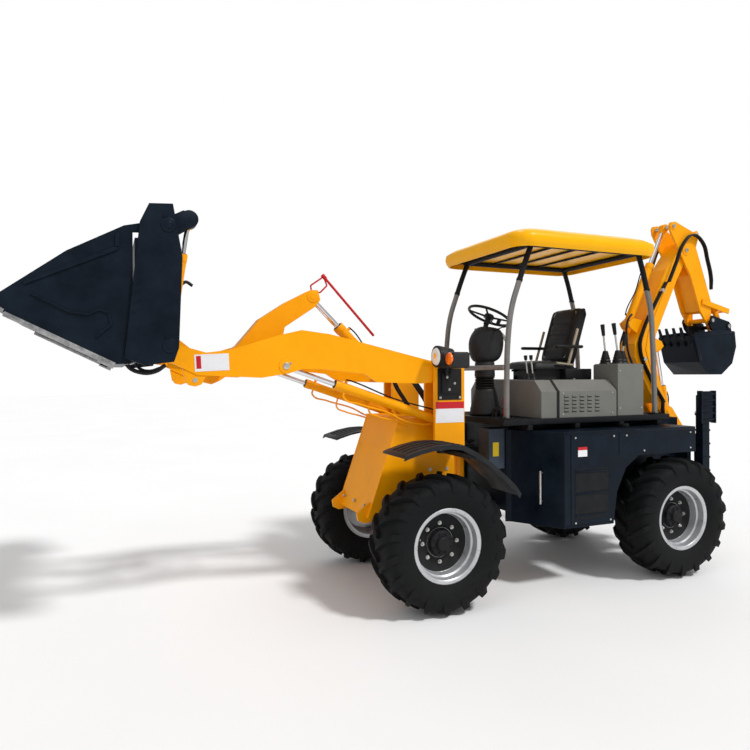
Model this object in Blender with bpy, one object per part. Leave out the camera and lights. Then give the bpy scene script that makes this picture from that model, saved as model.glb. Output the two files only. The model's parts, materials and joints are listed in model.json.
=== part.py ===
"""Compact articulated backhoe loader: loader arm with a 4-in-1 bucket in front, a backhoe behind.

Metres, +Z up. +X runs to the rear, -Y is the left side. While the parts are drawn, the front axle is
at X = 0 and the ground at Z = 0; the last step moves the whole machine over its own origin, the
centre of its bounding box at ground level.
"""

import math

import bmesh
import bpy
from mathutils import Vector

# ---- driving sizes -------------------------------------------------------------------------------
WHEELBASE = 2.373
HALF_TRACK = 0.755
TYRE_RADIUS = 0.53
TYRE_HALF_WIDTH = 0.205
RIM_RADIUS = 0.26
WHEEL_SIDES = 20
SEAT_GAP = 0.0003          # between pieces that touch
PIN_GAP = 0.0018           # between a pin and its bore
PIN_RADIUS = 0.022
ROD_GAP = 0.0008           # between a rod and its barrel
AXLE_Z = TYRE_RADIUS
SPINDLE_RADIUS = 0.058

HINGE_X = 0.60             # vertical articulation pin between the front and rear frames
FRAME_HALF_WIDTH = 0.38    # rear frame rails
FRAME_TOP = 1.38
FRONT_HALF_WIDTH = 0.35    # front frame boxes
PLATFORM_TOP = 1.43
PLATFORM_HALF_WIDTH = 0.60
TANK_OUTER = 0.83
PLATE = 0.03

ARM_PIVOT = (0.20, 1.84)
LIFT_BASE = (0.28, 1.40)
LIFT_EYE = (-1.12, 1.88)
LIFT_Y = 0.40
ARM_INNER, ARM_OUTER = 0.448, 0.483
BUCKET_PIN = (-1.96, 1.98)
ROCKER_PIVOT = (-1.119, 1.92)
ROCKER_TOP = (-0.784, 2.455)
ROCKER_LOW = (-1.608, 1.83)
LINK_BUCKET_PIN = (-2.07, 2.20)
TILT_BASE = (-0.12, 1.80)
BUCKET_HALF_WIDTH = 0.95
CLAM_PIVOT = (-1.993, 2.752)
CLAM_LEVER_PIN = (-1.86, 2.81)
CLAM_BASE = (-1.985, 2.00)
CLAM_Y = 0.84

SWING_X = 3.10
BOOM_PIVOT = (3.02, 1.42)
BOOM_BASE_PIN = (3.175, 1.212)
BOOM_EYE = (3.00, 2.10)
BOOM_HALF_WIDTH = 0.10
DIPPER_PIVOT = (3.30, 3.11)
DIPPER_BASE_PIN = (2.62, 2.33)
DIPPER_EYE = (3.12, 3.35)
HOE_PIVOT = (3.62, 2.38)
GUIDE_PIVOT = (3.549, 2.57)
GUIDE_EYE = (3.793, 2.512)
HOE_LINK_PIN = (3.864, 2.322)
HOE_BASE_PIN = (3.44, 3.28)
STAB_Y, STAB_Z, STAB_X = 0.56, 0.72, 3.04

SIDES = (("left", -1), ("right", 1))

# name: colour, roughness, metallic
LOOKS = {
    "yellow": ((1.0, 0.43, 0.0), 0.35, 0.0),
    "canopy_yellow": ((1.0, 0.55, 0.0), 0.3, 0.0),
    "navy": ((0.012, 0.02, 0.03), 0.4, 0.2),
    "black": ((0.015, 0.015, 0.017), 0.5, 0.0),
    "grey": ((0.2, 0.2, 0.18), 0.5, 0.1),
    "post_grey": ((0.3, 0.29, 0.27), 0.4, 0.3),
    "rim": ((0.5, 0.5, 0.5), 0.35, 0.7),
    "tyre": ((0.012, 0.012, 0.012), 0.85, 0.0),
    "chrome": ((0.8, 0.8, 0.8), 0.1, 1.0),
    "seat": ((0.01, 0.01, 0.01), 0.6, 0.0),
    "plastic": ((0.04, 0.04, 0.04), 0.5, 0.0),
    "lamp": ((0.7, 0.7, 0.68), 0.15, 0.3),
    "blue_grey": ((0.05, 0.07, 0.11), 0.5, 0.0),
}

# body: (body that carries it, point on its joint's axis)
BODIES = {
    "rear_frame": (None, (0, 0, 0)),
    "front_frame": ("rear_frame", (HINGE_X, 0, AXLE_Z)),
    "steering_wheel": ("rear_frame", (0.94, 0, 2.33)),
    "loader_arm": ("front_frame", (ARM_PIVOT[0], 0, ARM_PIVOT[1])),
    "bucket": ("loader_arm", (BUCKET_PIN[0], 0, BUCKET_PIN[1])),
    "clam": ("bucket", (CLAM_PIVOT[0], 0, CLAM_PIVOT[1])),
    "rocker": ("loader_arm", (ROCKER_PIVOT[0], 0, ROCKER_PIVOT[1])),
    "tilt_link": ("rocker", (ROCKER_LOW[0], 0, ROCKER_LOW[1])),
    "swing_post": ("rear_frame", (SWING_X, 0, 0.9)),
    "boom": ("swing_post", (BOOM_PIVOT[0], 0, BOOM_PIVOT[1])),
    "dipper": ("boom", (DIPPER_PIVOT[0], 0, DIPPER_PIVOT[1])),
    "hoe_bucket": ("dipper", (HOE_PIVOT[0], 0, HOE_PIVOT[1])),
    "hoe_guide": ("dipper", (GUIDE_PIVOT[0], 0, GUIDE_PIVOT[1])),
    "hoe_link": ("hoe_guide", (GUIDE_EYE[0], 0, GUIDE_EYE[1])),
}
pivots = {}


# ---- modelling tools -------------------------------------------------------------------------------
def new_object(build):
    """A scene object holding what build(bm) draws."""
    bm = bmesh.new()
    build(bm)
    bmesh.ops.recalc_face_normals(bm, faces=bm.faces)
    mesh = bpy.data.meshes.new("piece")
    bm.to_mesh(mesh)
    bm.free()
    piece = bpy.data.objects.new("piece", mesh)
    bpy.context.scene.collection.objects.link(piece)
    return piece


def bridge(bm, rings, closed):
    """Faces between rings of points; a closed stack joins its last ring to its first."""
    loops = [[bm.verts.new(point) for point in ring] for ring in rings]
    pairs = list(zip(loops, loops[1:]))
    if closed:
        pairs.append((loops[-1], loops[0]))
    else:
        bm.faces.new(loops[0])
        bm.faces.new(loops[-1][::-1])
    for first, second in pairs:
        for i in range(len(first)):
            j = (i + 1) % len(first)
            bm.faces.new((first[i], second[i], second[j], first[j]))


def prism(plane, outline, low, high):
    """An outline in the XZ, XY or YZ plane, extruded from low to high along the third axis."""
    place = {
        "XZ": lambda a, b, h: (a, h, b),
        "XY": lambda a, b, h: (a, b, h),
        "YZ": lambda a, b, h: (h, a, b),
    }[plane]
    rings = [[place(a, b, h) for a, b in outline] for h in (low, high)]
    return new_object(lambda bm: bridge(bm, rings, False))


def box(x0, x1, y0, y1, z0, z1):
    return prism("XY", [(x0, y0), (x1, y0), (x1, y1), (x0, y1)], z0, z1)


def tube(path, radius, sides=8):
    """A round bar along a polyline, mitred at its corners."""
    points = [Vector(p) for p in path]
    rings = []
    side = None
    for i, point in enumerate(points):
        before = (point - points[i - 1]).normalized() if i else None
        after = (points[i + 1] - point).normalized() if i + 1 < len(points) else None
        along = ((before or after) + (after or before)).normalized()
        side = side or (Vector((0, 1, 0)) if abs(along.y) < 0.9 else Vector((1, 0, 0)))
        side = (side - along * side.dot(along)).normalized()
        up = along.cross(side)
        stretch = 1 / max(0.3, along.dot(before or after))
        bend = (after - before) if before and after else Vector((0, 0, 0))
        bend = bend.normalized() if bend.length > 1e-6 else bend
        ring = []
        for k in range(sides):
            turn = 2 * math.pi * (k + 0.5) / sides
            spoke = (side * math.cos(turn) + up * math.sin(turn)) * radius
            spoke += bend * spoke.dot(bend) * (stretch - 1)
            ring.append(point + spoke)
        rings.append(ring)
    return new_object(lambda bm: bridge(bm, rings, False))


def cross_bar(point, y0, y1, radius, sides=10):
    """A round bar along Y through a point of the XZ plane."""
    x, z = point
    outline = []
    for k in range(sides):
        turn = 2 * math.pi * k / sides
        outline.append((x + radius * math.cos(turn), z + radius * math.sin(turn)))
    return prism("XZ", outline, min(y0, y1), max(y0, y1))


def upright(x, y, z0, z1, radius, sides=12):
    outline = []
    for k in range(sides):
        turn = 2 * math.pi * k / sides
        outline.append((x + radius * math.cos(turn), y + radius * math.sin(turn)))
    return prism("XY", outline, z0, z1)


def turned(profile, centre, side, sides=WHEEL_SIDES):
    """A closed ring: profile (radius, outward) turned about the Y axis through centre."""
    rings = []
    for k in range(sides):
        turn = 2 * math.pi * k / sides
        rings.append([
            (centre[0] + r * math.cos(turn), centre[1] + side * out, centre[2] + r * math.sin(turn))
            for r, out in profile
        ])
    return new_object(lambda bm: bridge(bm, rings, True))


def boolean(base, others, operation):
    """Joins or cuts base with other pieces, which are used up."""
    for other in others:
        step = base.modifiers.new("step", "BOOLEAN")
        step.operation = operation
        step.object = other
    depsgraph = bpy.context.evaluated_depsgraph_get()
    mesh = bpy.data.meshes.new_from_object(base.evaluated_get(depsgraph))
    base.modifiers.clear()
    base.data = mesh
    for other in others:
        bpy.data.objects.remove(other)


def material(look):
    found = bpy.data.materials.get(look)
    if found:
        return found
    colour, roughness, metallic = LOOKS[look]
    found = bpy.data.materials.new(look)
    found.use_nodes = True
    shader = found.node_tree.nodes["Principled BSDF"]
    shader.inputs["Base Color"].default_value = (*colour, 1)
    shader.inputs["Roughness"].default_value = roughness
    shader.inputs["Metallic"].default_value = metallic
    return found


def solid(name, look, body, pieces, cuts=()):
    """One named sub-part: the union of pieces, less the cuts, carried by its body's pivot."""
    part = pieces[0]
    if pieces[1:]:
        boolean(part, pieces[1:], "UNION")
    if cuts:
        boolean(part, list(cuts), "DIFFERENCE")
    part.name = name
    part.data.name = name
    part.data.materials.clear()
    part.data.materials.append(material(look))
    pivot = Vector(BODIES[body][1])
    for vertex in part.data.vertices:
        vertex.co -= pivot
    part.data.shade_smooth()
    part.data.set_sharp_from_angle(angle=math.radians(35))
    part.parent = pivots[body]
    return part


def add_body(name, parent, pivot):
    BODIES[name] = (parent, tuple(pivot))


def make_pivots():
    """An empty on each joint's axis, each under the empty of the body that carries it."""
    for name, (parent, point) in BODIES.items():
        empty = bpy.data.objects.new(f"pivot_{name}", None)
        bpy.context.scene.collection.objects.link(empty)
        pivots[name] = empty
        if parent:
            empty.parent = pivots[parent]
            empty.location = Vector(point) - Vector(BODIES[parent][1])
        else:
            empty.location = point


def hydraulic(name, base, eye, y, gland, rod_length, barrel_radius, rod_radius, reach):
    """A cylinder in a plane of constant Y: a barrel from its base pin, and a rod whose pin reaches
    from the eye almost to the plate that carries it."""
    start, end = Vector((base[0], y, base[1])), Vector((eye[0], y, eye[1]))
    along = (end - start).normalized()
    floor = 0.055
    half = barrel_radius * 0.8
    solid(f"{name}_barrel", "yellow", f"{name}_barrel", [
        tube([start + along * 0.02, start + along * gland], barrel_radius, 8),
        cross_bar(base, y - half, y + half, PIN_RADIUS + 0.02),
    ], [
        tube([start + along * floor, start + along * (gland + 0.01)], rod_radius + ROD_GAP, 8),
        cross_bar(base, y - half - 0.01, y + half + 0.01, PIN_RADIUS + PIN_GAP),
    ])
    tail = (end - start).length - rod_length
    solid(f"{name}_rod", "chrome", f"{name}_rod", [
        tube([start + along * tail, end - along * 0.03], rod_radius, 8),
        cross_bar(eye, y - half, y + half, PIN_RADIUS + 0.02),
        cross_bar(eye, y - min(reach), y + max(reach), PIN_RADIUS),
    ])


# name, base pin, rod's eye, Y, gland and rod lengths, barrel and rod radii, pin's reach, carrier
def cylinder_table():
    rows = []
    for side, sign in SIDES:
        arm_reach = (0.035, 0.047) if sign > 0 else (0.047, 0.035)
        clam_reach = (0.025, 0.031) if sign > 0 else (0.031, 0.025)
        rows.append((f"lift_{side}", LIFT_BASE, LIFT_EYE, sign * LIFT_Y, 1.05, 0.72,
                     0.038, 0.02, arm_reach, "front_frame"))
        rows.append((f"clam_{side}", CLAM_BASE, CLAM_LEVER_PIN, sign * CLAM_Y, 0.60, 0.26,
                     0.028, 0.015, clam_reach, "bucket"))
    rows.append(("tilt", TILT_BASE, ROCKER_TOP, 0, 0.60, 0.44, 0.045, 0.024, (0.041, 0.041), "loader_arm"))
    rows.append(("boom", BOOM_BASE_PIN, BOOM_EYE, 0, 0.48, 0.44, 0.042, 0.022, (0.044, 0.044), "swing_post"))
    rows.append(("dipper", DIPPER_BASE_PIN, DIPPER_EYE, 0, 0.70, 0.54, 0.04, 0.022, (0.105, 0.105), "boom"))
    rows.append(("hoe", HOE_BASE_PIN, GUIDE_EYE, 0, 0.49, 0.45, 0.036, 0.018, (0.044, 0.044), "dipper"))
    return rows


# ---- wheels and axles --------------------------------------------------------------------------------
def wheel(name, x, side):
    centre = (x, side * HALF_TRACK, AXLE_Z)
    flange = RIM_RADIUS + 0.025
    bead = RIM_RADIUS + SEAT_GAP
    solid(f"tyre_{name}", "tyre", f"wheel_{name}", [turned([
        (bead, -0.149), (bead, 0.149), (flange + 0.004, 0.1593), (0.36, 0.20), (0.46, TYRE_HALF_WIDTH),
        (TYRE_RADIUS, 0.16), (TYRE_RADIUS, -0.16), (0.46, -TYRE_HALF_WIDTH), (0.36, -0.20),
        (flange + 0.004, -0.1593),
    ], centre, side)])
    solid(f"rim_{name}", "rim", f"wheel_{name}", [turned([
        (RIM_RADIUS, -0.15), (RIM_RADIUS, 0.15), (flange, 0.16), (0.25, 0.163), (0.235, 0.04),
        (0.12, 0.02), (0.105, 0.10), (0.02, 0.10), (0.02, 0.055), (SPINDLE_RADIUS + PIN_GAP, 0.05),
        (SPINDLE_RADIUS + PIN_GAP, -0.14), (0.10, -0.14), (0.11, 0.0), (0.225, 0.02), (0.24, -0.163),
        (flange, -0.16),
    ], centre, side)])


def axle(name, x, body):
    pieces = [
        cross_bar((x, AXLE_Z), -0.60, 0.60, 0.075, 16),
        cross_bar((x, AXLE_Z), -0.11, 0.11, 0.16, 16),
    ]
    for _, side in SIDES:
        pieces.append(cross_bar((x, AXLE_Z), side * 0.58, side * (HALF_TRACK + 0.045), SPINDLE_RADIUS, WHEEL_SIDES))
    solid(f"{name}_axle", "black", body, pieces)


# ---- rear frame and what stands on it ------------------------------------------------------------------
def rear_frame():
    rail_low = AXLE_Z + 0.075 + SEAT_GAP
    pieces = []
    for _, side in SIDES:
        inner = FRAME_HALF_WIDTH - PLATE
        pieces.append(box(0.90, 2.89, min(side * inner, side * FRAME_HALF_WIDTH),
                          max(side * inner, side * FRAME_HALF_WIDTH), rail_low, FRAME_TOP))
    for x in (0.90, 2.86):
        pieces.append(box(x, x + PLATE, -0.36, 0.36, rail_low, FRAME_TOP))
    fork = [(0.60, -0.12), (0.93, -0.20), (0.93, 0.20), (0.60, 0.12), (0.53, 0.0)]
    for z in (0.63, 1.08):
        pieces.append(prism("XY", fork, z, z + 0.04))
    pieces.append(upright(HINGE_X, 0, 0.61, 1.14, 0.03))
    solid("rear_frame", "navy", "rear_frame", pieces)
    solid("engine_block", "grey", "rear_frame", [
        box(1.15, 1.80, -FRAME_HALF_WIDTH + PLATE + SEAT_GAP, FRAME_HALF_WIDTH - PLATE - SEAT_GAP, 0.70, 1.34)])


def side_tanks():
    outline = [(0.86, 0.53), (1.66, 0.53), (1.70, 0.80), (1.80, 1.00), (1.95, 1.10), (2.62, 1.10),
               (2.62, 1.33), (0.86, 1.33)]
    for name, side in SIDES:
        inner = side * (FRAME_HALF_WIDTH + SEAT_GAP)
        outer = side * TANK_OUTER
        corner = [(0.80, side * 0.36), (0.90, side * 0.42), (1.16, side * 0.86), (0.80, side * 0.86)]
        solid(f"side_tank_{name}", "navy", "rear_frame",
              [prism("XZ", outline, min(inner, outer), max(inner, outer))],
              [prism("XY", corner, 0.4, 1.5)])
    solid("battery_box", "blue_grey", "rear_frame", [box(0.70, 0.90 - SEAT_GAP, -0.378, -0.21, 0.99, 1.34)])


def wheel_axis():
    lean = math.radians(25)
    return Vector((math.sin(lean), 0, math.cos(lean)))


def wheel_axis_point(distance):
    return Vector(BODIES["steering_wheel"][1]) + wheel_axis() * distance


def operator_station():
    base = FRAME_TOP + SEAT_GAP
    top = PLATFORM_TOP + SEAT_GAP
    solid("platform", "grey", "rear_frame",
          [box(0.70, 2.55, -PLATFORM_HALF_WIDTH, PLATFORM_HALF_WIDTH, base, PLATFORM_TOP)])
    section = [(-0.58, top), (0.58, top), (0.58, 1.66), (0.48, 1.76), (-0.48, 1.76), (-0.58, 1.66)]
    hollow = [(-0.56, 1.40), (0.56, 1.40), (0.56, 1.65), (0.47, 1.74), (-0.47, 1.74), (-0.56, 1.65)]
    solid("engine_cover", "grey", "rear_frame", [prism("YZ", section, 1.10, 1.93)],
          [prism("YZ", hollow, 1.12, 1.91)])
    solid("console_tower", "grey", "rear_frame", [box(1.945, 2.25, -0.58, -0.26, top, 1.90)])
    solid("dash_column", "plastic", "rear_frame", [
        prism("XZ", [(0.74, top), (1.06, top), (1.02, 1.72), (0.80, 1.72)], -0.14, 0.14),
        upright(0.90, 0, 1.70, 1.92, 0.095, 14),
        prism("XZ", [(0.80, 1.90), (1.02, 1.90), (1.10, 2.10), (1.08, 2.20), (0.86, 2.28), (0.74, 2.14)],
              -0.13, 0.13),
        tube([wheel_axis_point(-0.17), wheel_axis_point(-0.0603)], 0.022),
    ])
    solid("seat_base", "black", "rear_frame", [box(1.34, 1.70, -0.18, 0.18, 1.76 + SEAT_GAP, 1.86)])
    solid("seat", "seat", "rear_frame", [
        box(1.28, 1.78, -0.24, 0.24, 1.86 + SEAT_GAP, 1.94),
        prism("XZ", [(1.67, 1.90), (1.77, 1.90), (1.93, 2.44), (1.84, 2.46)], -0.23, 0.23)])


def steering_wheel():
    axis = wheel_axis()
    centre = Vector(BODIES["steering_wheel"][1])
    flat = Vector((axis.z, 0, -axis.x))
    rings = []
    for k in range(24):
        turn = 2 * math.pi * k / 24
        out = flat * math.cos(turn) + Vector((0, 1, 0)) * math.sin(turn)
        middle = centre + axis * 0.03 + out * 0.20
        rings.append([middle + out * 0.013 * math.cos(a) + axis * 0.013 * math.sin(a)
                      for a in [math.pi * j / 3 for j in range(6)]])
    pieces = [new_object(lambda bm: bridge(bm, rings, True)),
              tube([centre - axis * 0.06, centre + axis * 0.03], 0.03, 12)]
    for k in range(3):
        turn = 2 * math.pi * (k + 0.5) / 3
        out = flat * math.cos(turn) + Vector((0, 1, 0)) * math.sin(turn)
        pieces.append(tube([centre + axis * 0.012, centre + axis * 0.03 + out * 0.20], 0.009, 8))
    solid("steering_wheel", "black", "steering_wheel", pieces)


def canopy():
    pieces = []
    half = 0.53
    for _, side in SIDES:
        y = side * half
        pieces.append(tube([(0.78, y, PLATFORM_TOP - 0.02), (0.79, y, 2.05), (0.84, y, 2.39),
                            (1.04, y, 2.94)], 0.025))
        pieces.append(tube([(2.44, y, PLATFORM_TOP - 0.02), (2.40, y, 2.40), (2.24, y, 2.94)], 0.025))
        pieces.append(tube([(1.00, y, 2.94), (2.28, y, 2.94)], 0.025))
    for x, z in ((0.765, 1.87), (1.04, 2.94), (2.24, 2.94)):
        pieces.append(tube([(x, -half, z), (x, half, z)], 0.018 if z < 2 else 0.025))
    solid("canopy_frame", "post_grey", "rear_frame", pieces, 
          [box(0, 4, -2, 2, 2.96, 4), box(0, 4, -2, 2, 1, PLATFORM_TOP + SEAT_GAP)])
    low = 2.96 + SEAT_GAP
    dome = [[(x, y, z) for x, y, z in ring] for ring in roof_rings(low)]
    solid("canopy_roof", "canopy_yellow", "rear_frame", [new_object(lambda bm: bridge(bm, dome, False))],
          [box(0.88, 2.30, -0.60, 0.60, 2.80, low)])


def roof_rings(low):
    """Rounded rectangles from the lip's foot to the crown."""
    rings = []
    for z, inset in ((low - 0.07, 0.03), (low + 0.0, 0.0), (low + 0.05, 0.01), (low + 0.10, 0.12),
                     (low + 0.14, 0.32), (low + 0.16, 0.55)):
        x0, x1, y = 0.80 + inset, 2.38 - inset, 0.69 - inset
        corner = 0.16 * (1 - inset)
        ring = []
        for cx, cy, start in ((x1 - corner, y - corner, 0), (x0 + corner, y - corner, 90),
                              (x0 + corner, -y + corner, 180), (x1 - corner, -y + corner, 270)):
            for step in range(4):
                turn = math.radians(start + 30 * step)
                ring.append((cx + corner * math.cos(turn), cy + corner * math.sin(turn), z))
        rings.append(ring)
    return rings


# ---- front frame -------------------------------------------------------------------------------------
def front_frame():
    w = FRONT_HALF_WIDTH
    pieces = []
    side_plate = [(-0.42, 0.66), (-0.14, 1.45), (0.10, 1.45), (0.10, 1.93), (0.375, 1.93), (0.375, 0.98),
                  (0.375, 0.66), (0.20, 0.6053), (-0.30, 0.6053)]
    outer_plate = [(0.10, 1.21), (0.375, 1.21), (0.375, 1.93), (0.10, 1.93)]
    for _, side in SIDES:
        pieces.append(prism("XZ", side_plate, min(side * (w - PLATE), side * w), max(side * (w - PLATE), side * w)))
        pieces.append(prism("XZ", outer_plate, min(side * 0.49, side * 0.52), max(side * 0.49, side * 0.52)))
        pieces.append(box(0.35, 0.375, min(side * 0.33, side * 0.51), max(side * 0.33, side * 0.51), 1.21, 1.93))
        for point, radius in ((ARM_PIVOT, 0.03), (LIFT_BASE, PIN_RADIUS)):
            pieces.append(cross_bar(point, side * 0.33, side * 0.51, radius))
    pieces.append(prism("XZ", [(-0.42, 0.66), (-0.39, 0.64), (-0.11, 1.44), (-0.14, 1.45)], -w + 0.01, w - 0.01))
    pieces.append(box(0.345, 0.375, -w + 0.01, w - 0.01, 0.66, 1.30))
    pieces.append(box(0.36, HINGE_X, -0.05, 0.05, 0.69, 1.06))
    pieces.append(upright(HINGE_X, 0, 0.6705, 1.0795, 0.065))
    cuts = [upright(HINGE_X, 0, 0.5, 1.2, 0.03 + PIN_GAP)]
    solid("front_frame", "yellow", "front_frame", pieces, cuts)
    top = [(-0.36, 1.22), (-0.10, 1.285), (0.10, 1.285), (0.36, 1.14), (0.60, 0.93), (0.63, 0.88)]
    outline = top + [(x - 0.008, z - 0.014) for x, z in reversed(top)]
    for name, side in SIDES:
        solid(f"fender_{name}", "black", "front_frame", [
            prism("XZ", outline, min(side * 0.53, side * 0.95), max(side * 0.53, side * 0.95)),
            box(0.20, 0.27, min(side * (w + SEAT_GAP), side * 0.90), max(side * (w + SEAT_GAP), side * 0.90),
                1.165, 1.205)])
        y0, y1 = side * (0.52 + SEAT_GAP), side * 0.80
        solid(f"headlight_{name}", "lamp", "front_frame", [
            box(0.12, 0.27, min(y0, y1), max(y0, y1), 1.86, 1.99),
            tube([(0.05, side * 0.615, 1.955), (0.14, side * 0.615, 1.955)], 0.088, 16)],
            [box(0.0, 0.5, min(0, side * (0.52 + SEAT_GAP)), max(0, side * (0.52 + SEAT_GAP)), 1.5, 2.3)])


# ---- loader --------------------------------------------------------------------------------------------
def loader_arm():
    outline = [(-2.04, 1.95), (-1.99, 2.03), (-1.90, 2.03), (-1.70, 1.975), (-1.53, 1.996), (-1.15, 2.114),
               (-1.00, 2.15), (-0.78, 2.124), (-0.585, 2.08), (0.083, 1.924), (0.20, 1.93), (0.27, 1.90),
               (0.29, 1.82), (0.22, 1.76), (0.0, 1.74), (-0.39, 1.753), (-0.50, 1.821), (-0.826, 1.856),
               (-0.985, 1.86), (-1.10, 1.825), (-1.305, 1.794), (-1.76, 1.816), (-1.93, 1.90), (-2.0, 1.91)]
    pieces, cuts = [], []
    for _, side in SIDES:
        low, high = sorted((side * ARM_INNER, side * ARM_OUTER))
        pieces.append(prism("XZ", outline, low, high))
        cuts.append(cross_bar(ARM_PIVOT, low - 0.02, high + 0.02, 0.03 + PIN_GAP))
        cuts.append(cross_bar(BUCKET_PIN, low - 0.02, high + 0.02, 0.03 + PIN_GAP))
    pieces.append(cross_bar(ROCKER_PIVOT, -0.345, 0.345, 0.045, 16))
    pieces.append(cross_bar((-0.80, 1.98), -0.46, 0.46, 0.05, 16))
    carrier = [(-1.17, 1.90), (-1.12, 1.87), (-0.78, 1.95), (-0.78, 2.01), (-1.12, 1.98), (-1.17, 1.95)]
    for _, side in SIDES:
        pieces.append(prism("XZ", carrier, *sorted((side * 0.325, side * 0.352))))
    pieces.append(cross_bar((-1.55, 1.90), -0.46, -0.115, 0.05, 16))
    pieces.append(cross_bar((-1.55, 1.90), 0.115, 0.46, 0.05, 16))
    pieces.append(cross_bar((0.01, 1.86), -0.46, 0.46, 0.035, 16))
    for y in (-0.065, 0.045):
        pieces.append(prism("XZ", [(-0.16, 1.77), (-0.05, 1.785), (0.03, 1.85), (0.0, 1.88), (-0.12, 1.845), (-0.16, 1.82)], y, y + 0.02))
    pieces.append(cross_bar(TILT_BASE, -0.06, 0.06, PIN_RADIUS))
    solid("loader_arm", "yellow", "loader_arm", pieces, cuts)


def rocker_and_link():
    outline = [(-1.69, 1.80), (-1.66, 1.76), (-1.60, 1.745), (-1.54, 1.77), (-1.35, 1.90), (-1.119, 1.84),
               (-1.04, 1.90), (-1.06, 2.02), (-1.02, 2.20), (-0.763, 2.373), (-0.72, 2.43), (-0.74, 2.51),
               (-0.80, 2.51), (-1.01, 2.40), (-1.223, 2.259), (-1.40, 2.05), (-1.60, 1.91), (-1.67, 1.88)]
    solid("rocker", "yellow", "rocker", [
        prism("XZ", outline, -0.07, 0.07),
    ], [
        cross_bar(ROCKER_PIVOT, -0.1, 0.1, 0.045 + PIN_GAP, 16),
        cross_bar(ROCKER_LOW, -0.1, 0.1, PIN_RADIUS + PIN_GAP),
        prism("XZ", [(-0.90, 2.34), (-0.60, 2.20), (-0.60, 2.60), (-0.90, 2.60)], -0.042, 0.042),
    ])
    start, end = Vector((*ROCKER_LOW, 0)), Vector((*LINK_BUCKET_PIN, 0))
    along = (end - start).normalized()
    across = Vector((-along.y, along.x, 0)) * 0.05
    first, last = start - along * 0.045, end + along * 0.045
    outline = [tuple((p + s)[:2]) for p, s in ((first, -across), (last, -across), (last, across), (first, across))]
    cuts = []
    for tip, out, reach in ((start, -along, 0.15), (end, along, 0.12)):
        a, b = tip - out * reach, tip + out * 0.1
        wide = across * 1.5
        slot = [tuple(p[:2]) for p in (a - wide, b - wide, b + wide, a + wide)]
        cuts.append(prism("XZ", slot, -0.076, 0.076))
    solid("tilt_link", "yellow", "tilt_link", [
        prism("XZ", outline, -0.10, 0.10), cross_bar(LINK_BUCKET_PIN, -0.105, 0.105, 0.058)], cuts)
    pin = cross_bar(ROCKER_LOW, -0.09, 0.09, PIN_RADIUS)
    boolean(bpy.data.objects["tilt_link"], [shifted(pin, "tilt_link")], "UNION")


def shifted(piece, body):
    """A piece moved into its body's own coordinates, to be joined to a part that is already placed."""
    piece.location = (0, 0, 0)
    for vertex in piece.data.vertices:
        vertex.co -= Vector(BODIES[body][1])
    piece.parent = pivots[body]
    bpy.context.view_layer.update()
    return piece


def buckets():
    w = BUCKET_HALF_WIDTH
    plate = [(-2.106, 2.877), (-1.964, 2.887), (-1.908, 2.56), (-1.931, 1.988), (-1.961, 1.899),
             (-2.137, 1.877), (-2.251, 1.921), (-2.16, 2.76)]
    wall = [(-2.19, 1.90), (-2.19, 2.66), (-2.16, 2.66), (-2.16, 1.90)]
    pieces, cuts = [prism("XZ", wall, -w + 0.01, w - 0.01)], []
    for _, side in SIDES:
        pieces.append(prism("XZ", plate, *sorted((side * (w - PLATE), side * w))))
        lug = [(-2.17, 1.91), (-1.93, 1.92), (-1.90, 1.98), (-1.94, 2.04), (-2.17, 2.15)]
        pieces.append(prism("XZ", lug, *sorted((side * 0.40, side * 0.442))))
        pieces.append(cross_bar(BUCKET_PIN, side * 0.42, side * 0.478, 0.03))
        low = [(-2.17, 1.94), (-1.96, 1.94), (-1.94, 2.00), (-1.97, 2.04), (-2.17, 2.06)]
        pieces.append(prism("XZ", low, *sorted((side * 0.872, side * 0.90))))
        pieces.append(cross_bar(CLAM_BASE, side * 0.81, side * 0.88, PIN_RADIUS))
        pieces.append(cross_bar(CLAM_PIVOT, side * 0.87, side * 0.93, 0.02))
    hook = [(-2.17, 2.12), (-2.06, 2.16), (-2.035, 2.20), (-2.06, 2.24), (-2.17, 2.28)]
    pieces.append(prism("XZ", hook, -0.07, 0.07))
    solid("bucket_back", "navy", "bucket", pieces, cuts)
    shell = [(-2.25, 2.735), (-2.571, 2.559), (-2.911, 2.302), (-2.99, 2.23), (-2.30, 1.885), (-2.22, 1.885),
             (-2.20, 2.00), (-2.20, 2.70), (-1.99, 2.71), (-1.96, 2.75), (-1.99, 2.797)]
    floor = [(-2.99, 2.23), (-2.30, 1.885), (-2.22, 1.885), (-2.21, 1.93), (-2.29, 1.925), (-2.96, 2.26)]
    pieces = [prism("XZ", floor, -0.905, 0.905), cross_bar(CLAM_PIVOT, -0.918, 0.918, 0.045)]
    cuts = [cross_bar(CLAM_PIVOT, -0.93, 0.93, 0.02 + PIN_GAP)]
    for _, side in SIDES:
        pieces.append(prism("XZ", shell, *sorted((side * 0.885, side * 0.913))))
        lever = [(-2.02, 2.73), (-1.96, 2.72), (-1.83, 2.78), (-1.83, 2.84), (-1.90, 2.84), (-2.01, 2.78)]
        pieces.append(prism("XZ", lever, *sorted((side * 0.872, side * 0.905))))
    solid("bucket_clam", "navy", "clam", pieces, cuts)


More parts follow.
